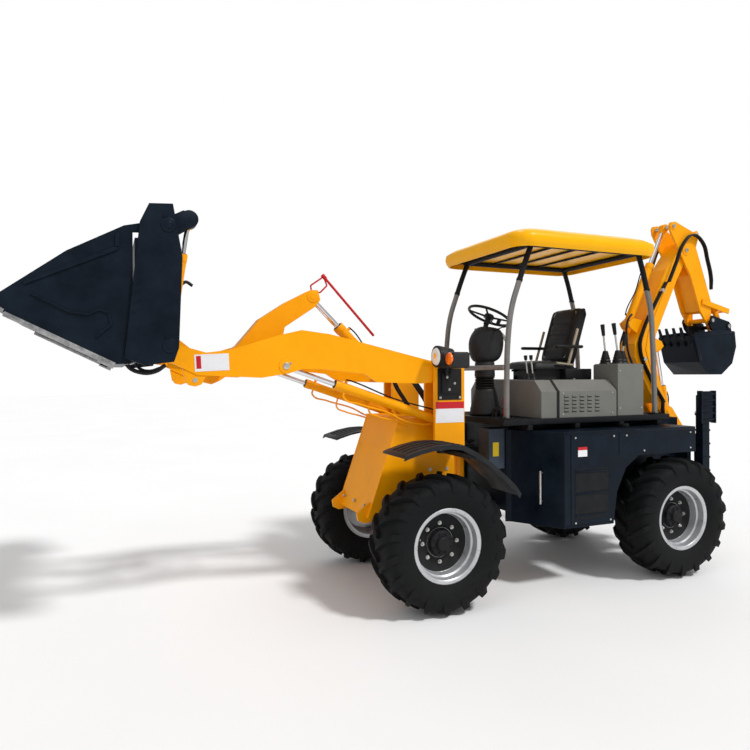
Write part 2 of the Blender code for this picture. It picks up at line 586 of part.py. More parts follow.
# ---- backhoe -----------------------------------------------------------------------------------------
def backhoe_frame():
    pieces = [box(2.89 + SEAT_GAP, 2.94, -0.50, 0.50, 0.62, 1.07)]
    lug = [(2.93, -0.16), (SWING_X, -0.10), (SWING_X + 0.08, -0.06), (SWING_X + 0.08, 0.06), (SWING_X, 0.10),
           (2.93, 0.16)]
    for z in (0.70, 1.04):
        pieces.append(prism("XY", lug, z, z + 0.04))
    for _, side in SIDES:
        for x in (2.935, 3.09):
            pieces.append(box(x, x + 0.025, *sorted((side * 0.42, side * 0.60)), 0.66, 0.80))
        pieces.append(box(2.935, 3.115, *sorted((side * 0.42, side * 0.47)), 0.66, 0.80))
        pieces.append(tube([(2.94, side * STAB_Y, STAB_Z), (3.11, side * STAB_Y, STAB_Z)], PIN_RADIUS, 14))
    cuts = [upright(SWING_X, 0, 0.6, 1.2, 0.05 + PIN_GAP)]
    solid("backhoe_frame", "navy", "rear_frame", pieces, cuts)
    for name, side in SIDES:
        y = side * STAB_Y
        leg = [(2.98, 0.68), (3.07, 0.68), (3.07, 1.60), (2.98, 1.60)]
        solid(f"stabiliser_{name}", "navy", f"stabiliser_{name}", [
            prism("XZ", leg, *sorted((y - side * 0.04, y + side * 0.04))),
            box(2.93, 3.12, *sorted((y + side * 0.03, y + side * 0.06)), 1.34, 1.64),
        ], [
            tube([(2.9, y, STAB_Z), (3.2, y, STAB_Z)], PIN_RADIUS + PIN_GAP, 14),
        ])


def swing_post():
    pieces = [
        upright(SWING_X, 0, 0.66, 1.12, 0.05),
        box(3.0, 3.26, -0.135, 0.135, 1.0805, 1.15),
    ]
    ear = [(2.96, 1.38), (3.0, 1.10), (3.26, 1.10), (3.26, 1.24), (3.09, 1.46), (3.02, 1.49), (2.96, 1.46)]
    for _, side in SIDES:
        pieces.append(prism("XZ", ear, *sorted((side * 0.108, side * 0.135))))
    pieces.append(cross_bar(BOOM_PIVOT, -0.12, 0.12, 0.025))
    pieces.append(cross_bar(BOOM_BASE_PIN, -0.12, 0.12, PIN_RADIUS))
    solid("swing_post", "yellow", "swing_post", pieces)


def boom_and_dipper():
    w = BOOM_HALF_WIDTH
    outline = [(2.955, 1.42), (2.98, 1.365), (3.06, 1.365), (3.085, 1.42), (2.93, 1.80), (2.86, 2.06), (2.91, 2.22),
               (3.20, 2.80), (3.37, 3.08), (3.35, 3.17), (3.27, 3.19), (3.05, 2.90), (2.72, 2.28),
               (2.62, 2.12), (2.62, 1.98), (2.80, 1.65)]
    front_lug = [(2.57, 2.33), (2.60, 2.28), (2.72, 2.20), (2.78, 2.36), (2.64, 2.38)]
    rear_lug = [(3.05, 2.10), (3.02, 2.15), (2.88, 2.20), (2.86, 2.02), (3.0, 2.05)]
    pieces = [prism("XZ", outline, -w, w)]
    cuts = [cross_bar(BOOM_PIVOT, -0.2, 0.2, 0.025 + PIN_GAP), cross_bar(DIPPER_PIVOT, -0.2, 0.2, 0.025 + PIN_GAP),
            prism("XZ", [(2.9, 1.3), (3.3, 1.3), (3.3, 1.95), (2.90, 1.95)], -0.048, 0.048)]
    for side in (-1, 1):
        pieces.append(prism("XZ", front_lug, *sorted((side * 0.045, side * 0.065))))
        pieces.append(prism("XZ", rear_lug, *sorted((side * 0.045, side * 0.065))))
    pieces.append(cross_bar(DIPPER_BASE_PIN, -0.05, 0.05, PIN_RADIUS))
    solid("boom", "yellow", "boom", pieces, cuts)
    cheek = [(3.07, 3.36), (3.09, 3.39), (3.15, 3.40), (3.40, 3.31), (3.46, 3.33), (3.48, 3.27), (3.44, 3.15), (3.50, 3.0), (3.66, 2.58),
             (3.66, 2.34), (3.60, 2.34), (3.50, 2.48), (3.36, 2.85), (3.24, 3.04), (3.08, 3.30)]
    web = [(3.42, 2.96), (3.48, 2.98), (3.63, 2.60), (3.60, 2.46), (3.53, 2.48), (3.40, 2.86)]
    pieces = [prism("XZ", web, -0.115, 0.115)]
    for side in (-1, 1):
        pieces.append(prism("XZ", cheek, *sorted((side * 0.106, side * 0.13))))
    for point, radius, half in ((DIPPER_PIVOT, 0.025, 0.115),
                                (HOE_BASE_PIN, PIN_RADIUS, 0.115), (HOE_PIVOT, 0.025, 0.175),
                                (GUIDE_PIVOT, PIN_RADIUS, 0.15)):
        pieces.append(cross_bar(point, -half, half, radius))
    solid("dipper", "yellow", "dipper", pieces)


def hoe_bucket():
    w = 0.225
    mouth = [(3.28, 2.21), (3.36, 1.93), (3.50, 1.80), (3.70, 1.80), (3.86, 1.92), (3.92, 2.10), (3.90, 2.26)]
    inside = [(3.31, 2.20), (3.38, 1.94), (3.51, 1.82), (3.69, 1.82), (3.84, 1.93), (3.90, 2.10), (3.88, 2.24)]
    side_plate = mouth + [(3.62, 2.27)]
    pieces = [prism("XZ", mouth + inside[::-1], -w + 0.005, w - 0.005)]
    for side in (-1, 1):
        pieces.append(prism("XZ", side_plate, *sorted((side * (w - 0.015), side * w))))
        ear = [(3.58, 2.35), (3.62, 2.43), (3.88, 2.37), (3.91, 2.28), (3.90, 2.10), (3.80, 2.10), (3.60, 2.30)]
        pieces.append(prism("XZ", ear, *sorted((side * 0.155, side * 0.175))))
        pieces.append(box(3.70, 3.905, *sorted((side * 0.165, side * 0.22)), 2.17, 2.20))
    pieces.append(prism("XZ", [(3.86, 2.20), (3.89, 2.20), (3.915, 2.10), (3.885, 2.10)], -w + 0.01, w - 0.01))
    for k in range(5):
        y = -0.19 + 0.095 * k
        pieces.append(prism("XZ", [(3.25, 2.30), (3.275, 2.20), (3.33, 2.08), (3.345, 2.09)], y - 0.02, y + 0.02))
    pieces.append(cross_bar(HOE_LINK_PIN, -0.16, 0.16, PIN_RADIUS))
    solid("hoe_bucket", "navy", "hoe_bucket", pieces, [cross_bar(HOE_PIVOT, -0.2, 0.2, 0.025 + PIN_GAP)])
    strap(("hoe_guide", "yellow"), GUIDE_PIVOT, GUIDE_EYE, (0.135, 0.15))
    strap(("hoe_link", "yellow"), GUIDE_EYE, HOE_LINK_PIN, (0.045, 0.075))


def strap(names, first, last, layer):
    """A pair of straps between two pins: the guide carries its far pin, the link has a middle block."""
    name, look = names
    start, end = Vector((*first, 0)), Vector((*last, 0))
    along = (end - start).normalized() * 0.035
    across = Vector((-along.y, along.x, 0))
    tip = 3.4 if name == "hoe_guide" else 1.0
    outline = [tuple(p[:2]) for p in (start - along - across * 0.8, end + along * tip - across * 0.8,
                                      end + along * tip + across * 0.8, start - along + across * 0.8)]
    pieces = [prism("XZ", outline, *sorted((side * layer[0], side * layer[1]))) for side in (-1, 1)]
    if name == "hoe_guide":
        cuts = [cross_bar(first, -0.2, 0.2, PIN_RADIUS + PIN_GAP)]
        bar = end + along * 3.0
        pieces.append(cross_bar((bar.x, bar.y), -0.142, 0.142, 0.012))
    else:
        middle = start + (end - start) * 0.62
        pieces.append(box(middle.x - 0.02, middle.x + 0.02, -0.06, 0.06, middle.y - 0.02, middle.y + 0.02))
        cuts = [cross_bar(last, -0.2, 0.2, PIN_RADIUS + PIN_GAP)]
        for side in (-1, 1):
            pieces.append(cross_bar(first, side * 0.06, side * 0.134, PIN_RADIUS))
    solid(name, look, name, pieces, cuts)


def stand_on_origin():
    """Moves the machine so that the origin is under its middle, at ground level."""
    bpy.context.view_layer.update()
    corners = [part.matrix_world @ vertex.co for part in bpy.data.objects if part.type == "MESH"
               for vertex in part.data.vertices]
    low = [min(c[i] for c in corners) for i in range(3)]
    high = [max(c[i] for c in corners) for i in range(3)]
    pivots["rear_frame"].location = (-(low[0] + high[0]) / 2, -(low[1] + high[1]) / 2, -low[2])


def main():
    for piece in list(bpy.data.objects):
        bpy.data.objects.remove(piece)
    for axle_name, x in (("front", 0.0), ("rear", WHEELBASE)):
        for name, side in SIDES:
            add_body(f"wheel_{axle_name}_{name}", f"{axle_name}_frame", (x, side * HALF_TRACK, AXLE_Z))
    for name, side in SIDES:
        add_body(f"stabiliser_{name}", "rear_frame", (STAB_X, side * STAB_Y, STAB_Z))
    for name, base, eye, y, *_, carrier in cylinder_table():
        add_body(f"{name}_barrel", carrier, (base[0], y, base[1]))
        add_body(f"{name}_rod", f"{name}_barrel", (eye[0], y, eye[1]))
    make_pivots()
    for axle_name, x in (("front", 0.0), ("rear", WHEELBASE)):
        axle(axle_name, x, f"{axle_name}_frame")
        for name, side in SIDES:
            wheel(f"{axle_name}_{name}", x, side)
    rear_frame()
    side_tanks()
    operator_station()
    steering_wheel()
    canopy()
    front_frame()
    loader_arm()
    rocker_and_link()
    buckets()
    backhoe_frame()
    swing_post()
    boom_and_dipper()
    hoe_bucket()
    for name, base, eye, y, *sizes, _ in cylinder_table():
        hydraulic(name, base, eye, y, *sizes)
    stand_on_origin()


main()
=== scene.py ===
"""Looks of the compact articulated backhoe loader: tyres, seat, cab, hydraulics and finishes."""

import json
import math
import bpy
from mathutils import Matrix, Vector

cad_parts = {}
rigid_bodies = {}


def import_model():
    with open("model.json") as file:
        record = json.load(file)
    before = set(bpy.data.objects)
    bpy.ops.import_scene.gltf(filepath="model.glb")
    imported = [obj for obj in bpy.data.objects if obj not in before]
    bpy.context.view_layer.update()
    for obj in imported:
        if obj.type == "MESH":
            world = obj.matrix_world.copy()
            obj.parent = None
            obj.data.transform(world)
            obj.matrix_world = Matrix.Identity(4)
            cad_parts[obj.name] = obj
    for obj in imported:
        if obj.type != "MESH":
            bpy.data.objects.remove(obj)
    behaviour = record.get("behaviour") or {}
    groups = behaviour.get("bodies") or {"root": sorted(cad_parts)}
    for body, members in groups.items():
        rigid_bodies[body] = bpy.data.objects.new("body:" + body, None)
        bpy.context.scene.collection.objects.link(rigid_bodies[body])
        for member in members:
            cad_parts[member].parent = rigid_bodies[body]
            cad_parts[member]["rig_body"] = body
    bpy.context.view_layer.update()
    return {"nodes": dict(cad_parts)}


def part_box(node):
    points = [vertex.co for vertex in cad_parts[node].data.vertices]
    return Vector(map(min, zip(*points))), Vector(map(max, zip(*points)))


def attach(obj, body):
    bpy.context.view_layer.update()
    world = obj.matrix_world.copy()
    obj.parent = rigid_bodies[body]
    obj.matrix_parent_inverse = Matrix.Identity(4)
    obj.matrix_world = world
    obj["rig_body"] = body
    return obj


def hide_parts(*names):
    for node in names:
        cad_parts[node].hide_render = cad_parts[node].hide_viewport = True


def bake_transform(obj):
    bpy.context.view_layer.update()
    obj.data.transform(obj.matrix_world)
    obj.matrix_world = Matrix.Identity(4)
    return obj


bl_info = {
    "name": "Backhoe Loader",
    "version": (1, 0, 0),
    "blender": (4, 5, 0),
    "location": "View3D > Sidebar > Loader",
    "description": "Builds the wheels, cab, hydraulics and paint of a compact backhoe loader on its frame",
    "category": "Object",
}

import bmesh
import bpy
from mathutils import Matrix, Vector

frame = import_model()
FRONT_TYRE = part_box("tyre_front_left")
AXLE_X = (FRONT_TYRE[0][0] + FRONT_TYRE[1][0]) / 2
AXLE_Z = (FRONT_TYRE[0][2] + FRONT_TYRE[1][2]) / 2
HALF_TRACK = 0.755
TREAD_PITCH = 0.04
TREAD_BAR = Matrix.Diagonal((0.026, 0.006, 0.003, 1))
EYE_RADIUS = 0.042
PIN_RADIUS = 0.0215
HUB_BOLT_CIRCLE = 0.073
NUT_CIRCLE = 0.148
NUTS_A_WHEEL = 8
WHEELBASE = 2.373
SIDES = (("left", -1), ("right", 1))
ARM_PIVOT = (0.20, 1.84)
BUCKET_PIN = (-1.96, 1.98)

# name: base pin, rod eye, Y, barrel length, rod length, barrel radius, rod radius, half pin
CYLINDERS = {
    "lift_left": ((0.28, 1.40), (-1.12, 1.88), -0.40, 1.05, 0.72, 0.038, 0.020, 0.035),
    "lift_right": ((0.28, 1.40), (-1.12, 1.88), 0.40, 1.05, 0.72, 0.038, 0.020, 0.035),
    "clam_left": ((-1.985, 2.00), (-1.86, 2.81), -0.84, 0.60, 0.26, 0.028, 0.015, 0.025),
    "clam_right": ((-1.985, 2.00), (-1.86, 2.81), 0.84, 0.60, 0.26, 0.028, 0.015, 0.025),
    "tilt": ((-0.12, 1.80), (-0.784, 2.455), 0.0, 0.60, 0.44, 0.045, 0.024, 0.041),
    "boom": ((3.175, 1.212), (3.00, 2.10), 0.0, 0.48, 0.44, 0.042, 0.022, 0.044),
    "dipper": ((2.62, 2.33), (3.12, 3.35), 0.0, 0.70, 0.54, 0.040, 0.022, 0.105),
    "hoe": ((3.44, 3.28), (3.793, 2.512), 0.0, 0.49, 0.45, 0.036, 0.018, 0.044),
}

# CAD node: finish
NODE_FINISHES = {
    "front_frame": "yellow_paint", "loader_arm": "yellow_paint", "rocker": "yellow_paint",
    "tilt_link": "yellow_paint", "swing_post": "yellow_paint", "boom": "yellow_paint",
    "dipper": "yellow_paint", "hoe_guide": "yellow_paint", "hoe_link": "yellow_paint",
    "bucket_back": "navy_paint", "bucket_clam": "navy_paint", "side_tank_left": "navy_paint",
    "side_tank_right": "navy_paint", "rear_frame": "navy_paint", "backhoe_frame": "navy_paint",
    "stabiliser_left": "navy_paint", "stabiliser_right": "navy_paint", "hoe_bucket": "navy_paint",
    "battery_box": "steel_blue", "engine_cover": "grey_paint", "console_tower": "grey_paint",
    "engine_block": "dark_plastic", "platform": "deck_black", "seat_base": "dark_plastic",
    "dash_column": "dark_plastic", "fender_left": "fender_plastic", "fender_right": "fender_plastic",
    "front_axle": "deck_black", "rear_axle": "deck_black", "canopy_frame": "post_paint",
    "canopy_roof": "canopy_paint", "headlight_left": "dark_plastic", "headlight_right": "dark_plastic",
}
SOFT_EDGES = ("front_frame", "loader_arm", "rocker", "tilt_link", "swing_post", "boom", "dipper",
              "hoe_guide", "hoe_link", "bucket_back", "bucket_clam", "side_tank_left",
              "side_tank_right", "backhoe_frame", "stabiliser_left", "stabiliser_right",
              "hoe_bucket", "battery_box", "engine_cover", "console_tower", "platform",
              "fender_left", "fender_right", "dash_column")


# ---- sizes and colours that a user would change -----------------------------------------------------
class LoaderSizes(bpy.types.PropertyGroup):
    lug_count: bpy.props.IntProperty(
        name="Lugs per Side", description="Tread lugs on each half of a tyre", default=18, min=10, max=26)
    lug_height: bpy.props.FloatProperty(
        name="Lug Height", description="How far the tread stands out of the carcass",
        default=0.036, min=0.015, max=0.05, unit="LENGTH")
    hose_radius: bpy.props.FloatProperty(
        name="Hose Radius", description="Radius of the hydraulic hoses", default=0.011,
        min=0.005, max=0.02, unit="LENGTH")
    edge_round: bpy.props.FloatProperty(
        name="Edge Round", description="Rounding of the painted plates' edges", default=0.004,
        min=0.0, max=0.01, unit="LENGTH")


class LoaderColours(bpy.types.PropertyGroup):
    body: bpy.props.FloatVectorProperty(
        name="Body", description="Paint of the arms and frames", subtype="COLOR", size=3,
        default=(0.95, 0.37, 0.0), min=0, max=1)
    roof: bpy.props.FloatVectorProperty(
        name="Roof", description="Paint of the canopy", subtype="COLOR", size=3,
        default=(0.98, 0.46, 0.0), min=0, max=1)
    dark: bpy.props.FloatVectorProperty(
        name="Dark Paint", description="Paint of the bucket, tanks and stabilisers", subtype="COLOR",
        size=3, default=(0.0045, 0.0090, 0.0165), min=0, max=1)
    cover: bpy.props.FloatVectorProperty(
        name="Engine Cover", description="Paint of the engine cover and consoles", subtype="COLOR",
        size=3, default=(0.165, 0.165, 0.150), min=0, max=1)
    rim: bpy.props.FloatVectorProperty(
        name="Rims", description="Paint of the wheel rims", subtype="COLOR", size=3,
        default=(0.55, 0.56, 0.58), min=0, max=1)


# ---- finishes ---------------------------------------------------------------------------------------
def finish(name, colour, roughness=0.4, metallic=0.0, coat=0.0, scale=6.0, vary=0.12, grain=0.0,
           grain_scale=300.0, grime=0.0, grime_height=0.9, gleam=0.22):
    """A procedural finish: mottled colour and roughness, a fine bump, and dust towards the ground."""
    label = f"{name}_finish"
    found = bpy.data.materials.get(label)
    if found:
        return found
    made = bpy.data.materials.new(label)
    made.use_nodes = True
    tree = made.node_tree
    nodes, links = tree.nodes, tree.links
    shader = nodes["Principled BSDF"]
    place = nodes.new("ShaderNodeTexCoord")
    patches = nodes.new("ShaderNodeTexNoise")
    patches.inputs["Scale"].default_value = scale
    patches.inputs["Detail"].default_value = 6
    patches.inputs["Roughness"].default_value = 0.62
    links.new(place.outputs["Object"], patches.inputs["Vector"])
    tint = nodes.new("ShaderNodeValToRGB")
    tint.color_ramp.elements[0].position = 0.35
    tint.color_ramp.elements[1].position = 0.68
    tint.color_ramp.elements[0].color = (*[c * (1 - vary) for c in colour], 1)
    tint.color_ramp.elements[1].color = (*[min(1.0, c * (1 + vary)) for c in colour], 1)
    links.new(patches.outputs["Fac"], tint.inputs["Fac"])
    colour_out = tint.outputs["Color"]
    if grime:
        height = nodes.new("ShaderNodeSeparateXYZ")
        links.new(place.outputs["Object"], height.inputs["Vector"])
        low = nodes.new("ShaderNodeMapRange")
        low.inputs["From Min"].default_value = grime_height
        low.inputs["From Max"].default_value = 0.0
        low.inputs["To Min"].default_value = 0.0
        low.inputs["To Max"].default_value = grime
        links.new(height.outputs["Z"], low.inputs["Value"])
        spread = nodes.new("ShaderNodeMath")
        spread.operation = "MULTIPLY"
        links.new(low.outputs["Result"], spread.inputs[0])
        links.new(patches.outputs["Fac"], spread.inputs[1])
        dusty = nodes.new("ShaderNodeMix")
        dusty.data_type = "RGBA"
        dusty.inputs["B"].default_value = (0.23, 0.20, 0.16, 1)
        links.new(spread.outputs["Value"], dusty.inputs["Factor"])
        links.new(colour_out, dusty.inputs["A"])
        colour_out = dusty.outputs["Result"]
    links.new(colour_out, shader.inputs["Base Color"])
    gloss = nodes.new("ShaderNodeMapRange")
    gloss.inputs["From Min"].default_value = 0.3
    gloss.inputs["From Max"].default_value = 0.75
    gloss.inputs["To Min"].default_value = max(0.03, roughness - 0.08)
    gloss.inputs["To Max"].default_value = min(1.0, roughness + 0.14)
    links.new(patches.outputs["Fac"], gloss.inputs["Value"])
    links.new(gloss.outputs["Result"], shader.inputs["Roughness"])
    shader.inputs["Metallic"].default_value = metallic
    shader.inputs["Coat Weight"].default_value = coat
    shader.inputs["Coat Roughness"].default_value = 0.12
    shader.inputs["Specular IOR Level"].default_value = gleam
    fine = nodes.new("ShaderNodeTexNoise")
    fine.inputs["Scale"].default_value = grain_scale
    fine.inputs["Detail"].default_value = 2
    links.new(place.outputs["Object"], fine.inputs["Vector"])
    bump = nodes.new("ShaderNodeBump")
    bump.inputs["Strength"].default_value = 0.04 + grain
    bump.inputs["Distance"].default_value = 0.002
    links.new(fine.outputs["Fac"], bump.inputs["Height"])
    links.new(bump.outputs["Normal"], shader.inputs["Normal"])
    return made


def make_finishes(colours):
    finish("yellow_paint", colours.body, 0.36, coat=0.03, vary=0.05, scale=4, grime=0.15, gleam=0.15)
    finish("canopy_paint", colours.roof, 0.34, coat=0.04, vary=0.04, scale=3, gleam=0.15)
    finish("navy_paint", colours.dark, 0.34, coat=0.015, vary=0.3, scale=5, grime=0.02, grime_height=1.2,
           gleam=0.10)
    finish("steel_blue", (0.05, 0.065, 0.09), 0.45, metallic=0.3, vary=0.25, scale=9)
    finish("grey_paint", colours.cover, 0.45, vary=0.07, scale=5, grain=0.05)
    finish("post_paint", (0.21, 0.20, 0.19), 0.32, metallic=0.35, vary=0.1, scale=7)
    finish("deck_black", (0.009, 0.010, 0.012), 0.55, vary=0.3, scale=14, grain=0.1, grime=0.1, gleam=0.15)
    finish("dark_plastic", (0.020, 0.020, 0.021), 0.48, vary=0.2, scale=12, grain=0.16, grain_scale=700)
    finish("black_plastic", (0.009, 0.009, 0.010), 0.42, vary=0.25, scale=12, grain=0.10, grain_scale=600)
    finish("fender_plastic", (0.014, 0.016, 0.018), 0.42, vary=0.25, scale=6, grain=0.08)
    finish("rubber", (0.0045, 0.0052, 0.0058), 0.70, vary=0.35, scale=20, grain=0.30, grain_scale=240,
           grime=0.03, grime_height=0.7, gleam=0.16)
    finish("hose_rubber", (0.010, 0.010, 0.011), 0.5, vary=0.25, scale=30, grain=0.12, grain_scale=500)
    finish("rim_silver", colours.rim, 0.30, metallic=0.55, vary=0.10, scale=10, grime=0.12)
    finish("zinc", (0.55, 0.55, 0.52), 0.34, metallic=0.9, vary=0.18, scale=25)
    finish("chrome", (0.78, 0.78, 0.80), 0.10, metallic=1.0, vary=0.04, scale=12)
    finish("worn_steel", (0.34, 0.34, 0.34), 0.38, metallic=0.75, vary=0.3, scale=18, grain=0.1)
    finish("vinyl", (0.013, 0.013, 0.014), 0.46, vary=0.2, scale=9, grain=0.35, grain_scale=420)
    finish("piping", (0.45, 0.45, 0.44), 0.5, vary=0.08, scale=30)
    finish("webbing", (0.36, 0.30, 0.22), 0.75, vary=0.12, scale=80, grain=0.4, grain_scale=900)
    finish("signal_red", (0.55, 0.006, 0.015), 0.35, coat=0.3, vary=0.06, scale=10)
    finish("label_white", (0.78, 0.78, 0.80), 0.4, vary=0.03, scale=10)
    finish("label_yellow", (0.9, 0.62, 0.02), 0.4, vary=0.04, scale=10)
    finish("lens_white", (0.80, 0.80, 0.76), 0.06, coat=1.0, vary=0.06, scale=60)
    finish("lens_amber", (0.95, 0.17, 0.01), 0.12, coat=1.0, vary=0.05, scale=60)
    finish("dial_face", (0.60, 0.60, 0.58), 0.2, coat=0.6, vary=0.1, scale=80)


# ---- modelling helpers ------------------------------------------------------------------------------
def block(bm, x0, x1, y0, y1, z0, z1, turn=None, bevel=0.0):
    """A box between corners, turned by a matrix about its middle, its edges rounded by bevel."""
    y0, y1 = sorted((y0, y1))
    middle = Vector(((x0 + x1) / 2, (y0 + y1) / 2, (z0 + z1) / 2))
    size = Matrix.Diagonal((x1 - x0, y1 - y0, z1 - z0, 1))
    spin = turn.to_4x4() if turn else Matrix.Identity(4)
    made = bmesh.ops.create_cube(bm, size=1, matrix=Matrix.Translation(middle) @ spin @ size)["verts"]
    if bevel:
        edges = {e for v in made for e in v.link_edges}
        bmesh.ops.bevel(bm, geom=list(edges), offset=bevel, offset_type="OFFSET", segments=2,
                        profile=0.5, affect="EDGES", material=-1, clamp_overlap=True)
    return made


def rod(bm, a, b, radius, sides=20, radius_b=None, bevel=0.0):
    """A round bar from a to b."""
    a, b = Vector(a), Vector(b)
    along = b - a
    place = Matrix.Translation((a + b) / 2) @ along.to_track_quat("Z", "Y").to_matrix().to_4x4()
    made = bmesh.ops.create_cone(bm, cap_ends=True, segments=sides, radius1=radius,
                                 radius2=radius if radius_b is None else radius_b,
                                 depth=along.length, matrix=place)["verts"]
    if bevel:
        rims = {e for v in made for e in v.link_edges
                if abs((e.verts[0].co - e.verts[1].co).normalized().dot(along.normalized())) < 0.5}
        bmesh.ops.bevel(bm, geom=list(rims), offset=bevel, offset_type="OFFSET", segments=2,
                        profile=0.5, affect="EDGES", material=-1, clamp_overlap=True)
    return made


def plate(bm, outline, y0, y1, bevel=0.0):
    """An XZ outline as a flat plate from y0 to y1."""
    y0, y1 = sorted((y0, y1))
    corners = [bm.verts.new((x, y0, z)) for x, z in outline]
    face = bm.faces.new(corners)
    grown = bmesh.ops.extrude_face_region(bm, geom=[face])["geom"]
    moved = [v for v in grown if isinstance(v, bmesh.types.BMVert)]
    bmesh.ops.translate(bm, vec=(0, y1 - y0, 0), verts=moved)
    if bevel:
        edges = {e for v in moved for e in v.link_edges if e.other_vert(v) in moved}
        edges |= {e for v in corners for e in v.link_edges if e.other_vert(v) in corners}
        bmesh.ops.bevel(bm, geom=list(edges), offset=bevel, offset_type="OFFSET", segments=2,
                        profile=0.5, affect="EDGES", material=-1, clamp_overlap=True)
    return corners + moved


def lathe(bm, profile, centre, out, steps=48, closed=True):
    """Turns a profile of (radius, outward) about the Y axis through centre; out is +1 or -1."""
    ring = [bm.verts.new((centre[0] + r, centre[1] + out * o, centre[2])) for r, o in profile]
    ends = list(zip(ring, ring[1:])) + ([(ring[-1], ring[0])] if closed else [])
    edges = [bm.edges.new(pair) for pair in ends]
    bmesh.ops.spin(bm, geom=ring + edges, cent=centre, axis=(0, 1, 0), dvec=(0, 0, 0),
                   angle=2 * math.pi, steps=steps, use_merge=True, use_duplicate=False)


def loft(bm, rings, closed=False):
    """Skins a stack of rings with the bridge operator and caps its ends."""
    loops = []
    for ring in rings:
        verts = [bm.verts.new(point) for point in ring]
        loops.append((verts, [bm.edges.new((verts[i], verts[(i + 1) % len(verts)]))
                              for i in range(len(verts))]))
    pairs = list(zip(loops, loops[1:])) + ([(loops[-1], loops[0])] if closed else [])
    for (_, first), (_, second) in pairs:
        bmesh.ops.bridge_loops(bm, edges=first + second)
    if not closed:
        bm.faces.new(loops[0][0])
        bm.faces.new(loops[-1][0])


def turned_copies(bm, verts, centre, count, axis=(0, 1, 0)):
    """Copies of what verts carry, spaced evenly about an axis."""
    faces = list({f for v in verts for f in v.link_faces})
    edges = list({e for v in verts for e in v.link_edges})
    bmesh.ops.spin(bm, geom=list(verts) + edges + faces, cent=centre, axis=axis, dvec=(0, 0, 0),
                   angle=2 * math.pi * (count - 1) / count, steps=count - 1, use_duplicate=True)


def nut(bm, centre, direction, across=0.014, height=0.010):
    """A hexagon nut with a washer under it."""
    c, d = Vector(centre), Vector(direction).normalized()
    rod(bm, c - d * 0.002, c + d * 0.002, across * 0.8, 16)
    rod(bm, c, c + d * height, across * 0.58, 6)
    rod(bm, c, c + d * (height + 0.005), across * 0.28, 8)


def piece(name, bm, finish_name, body, replaces=(), smooth=35):
    """Moves what was drawn from the front axle's coordinates to the frame's, and rides it on its body."""
    bmesh.ops.recalc_face_normals(bm, faces=bm.faces)
    bmesh.ops.translate(bm, vec=(AXLE_X, 0, 0), verts=bm.verts)
    mesh = bpy.data.meshes.new(name)
    bm.to_mesh(mesh)
    bm.free()
    mesh.materials.append(bpy.data.materials[finish_name + "_finish"])
    mesh.shade_smooth()
    if smooth:
        mesh.set_sharp_from_angle(angle=math.radians(smooth))
    made = bpy.data.objects.new(name, mesh)
    bpy.context.scene.collection.objects.link(made)
    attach(made, body)
    if replaces:
        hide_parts(*replaces)
    return made


def pipes(name, routes, radius, finish_name, body):
    """Bent pipes or clipped hoses, each along its own smooth route, as one piece."""
    curve = bpy.data.curves.new(name, "CURVE")
    curve.dimensions = "3D"
    curve.bevel_depth = radius
    curve.bevel_resolution = 3
    curve.resolution_u = 8
    curve.use_fill_caps = True
    for route in routes:
        spline = curve.splines.new("BEZIER")
        spline.bezier_points.add(len(route) - 1)
        for knot, (x, y, z) in zip(spline.bezier_points, route):
            knot.co = (x + AXLE_X, y, z)
            knot.handle_left_type = knot.handle_right_type = "AUTO"
    sketch = bpy.data.objects.new(name + "_route", curve)
    bpy.context.scene.collection.objects.link(sketch)
    mesh = bpy.data.meshes.new_from_object(sketch.evaluated_get(bpy.context.evaluated_depsgraph_get()))
    bpy.data.objects.remove(sketch)
    bm = bmesh.new()
    bm.from_mesh(mesh)
    bmesh.ops.remove_doubles(bm, verts=bm.verts, dist=0.00005)
    bmesh.ops.translate(bm, vec=(-AXLE_X, 0, 0), verts=bm.verts)
    return piece(name, bm, finish_name, body, smooth=60)


def tilt_about_y(angle):
    """A turn about the machine's cross axis."""
    return Matrix.Rotation(angle, 3, "Y")


class Builder:
    """What the operators share: each builds its pieces from the scene's sizes and colours."""
    bl_options = {"REGISTER", "UNDO"}

    def execute(self, context):
        self.build(context.scene.loader_sizes, context.scene.loader_colours)
        return {"FINISHED"}


# ---- finishes of the frame's own parts ---------------------------------------------------------------
class LOADER_OT_finishes(Builder, bpy.types.Operator):
    """Paints every part of the frame and rounds the edges of its plates"""
    bl_idname = "loader.finishes"
    bl_label = "Paint the Frame"

    def build(self, sizes, colours):
        make_finishes(colours)
        for name, node in frame["nodes"].items():
            chosen = bpy.data.materials[NODE_FINISHES.get(name, "worn_steel") + "_finish"]
            node.data.materials.clear()
            node.data.materials.append(chosen)
        for name in SOFT_EDGES:
            node = frame["nodes"][name]
            weld = node.modifiers.new("weld", "WELD")
            weld.merge_threshold = 0.0002
            soft = node.modifiers.new("edges", "BEVEL")
            soft.width = sizes.edge_round
            soft.segments = 2
            soft.limit_method = "ANGLE"
            soft.angle_limit = math.radians(50)
            soft.use_clamp_overlap = True
            soft.harden_normals = True


# ---- wheels ------------------------------------------------------------------------------------------
CARCASS = [(0.262, -0.149), (0.262, 0.149), (0.289, 0.163), (0.330, 0.187), (0.380, 0.199),
           (0.430, 0.197), (0.465, 0.184), (0.488, 0.150), (0.497, 0.080), (0.499, 0.0),
           (0.497, -0.080), (0.488, -0.150), (0.465, -0.184), (0.430, -0.197), (0.380, -0.199),
           (0.330, -0.187), (0.289, -0.163)]
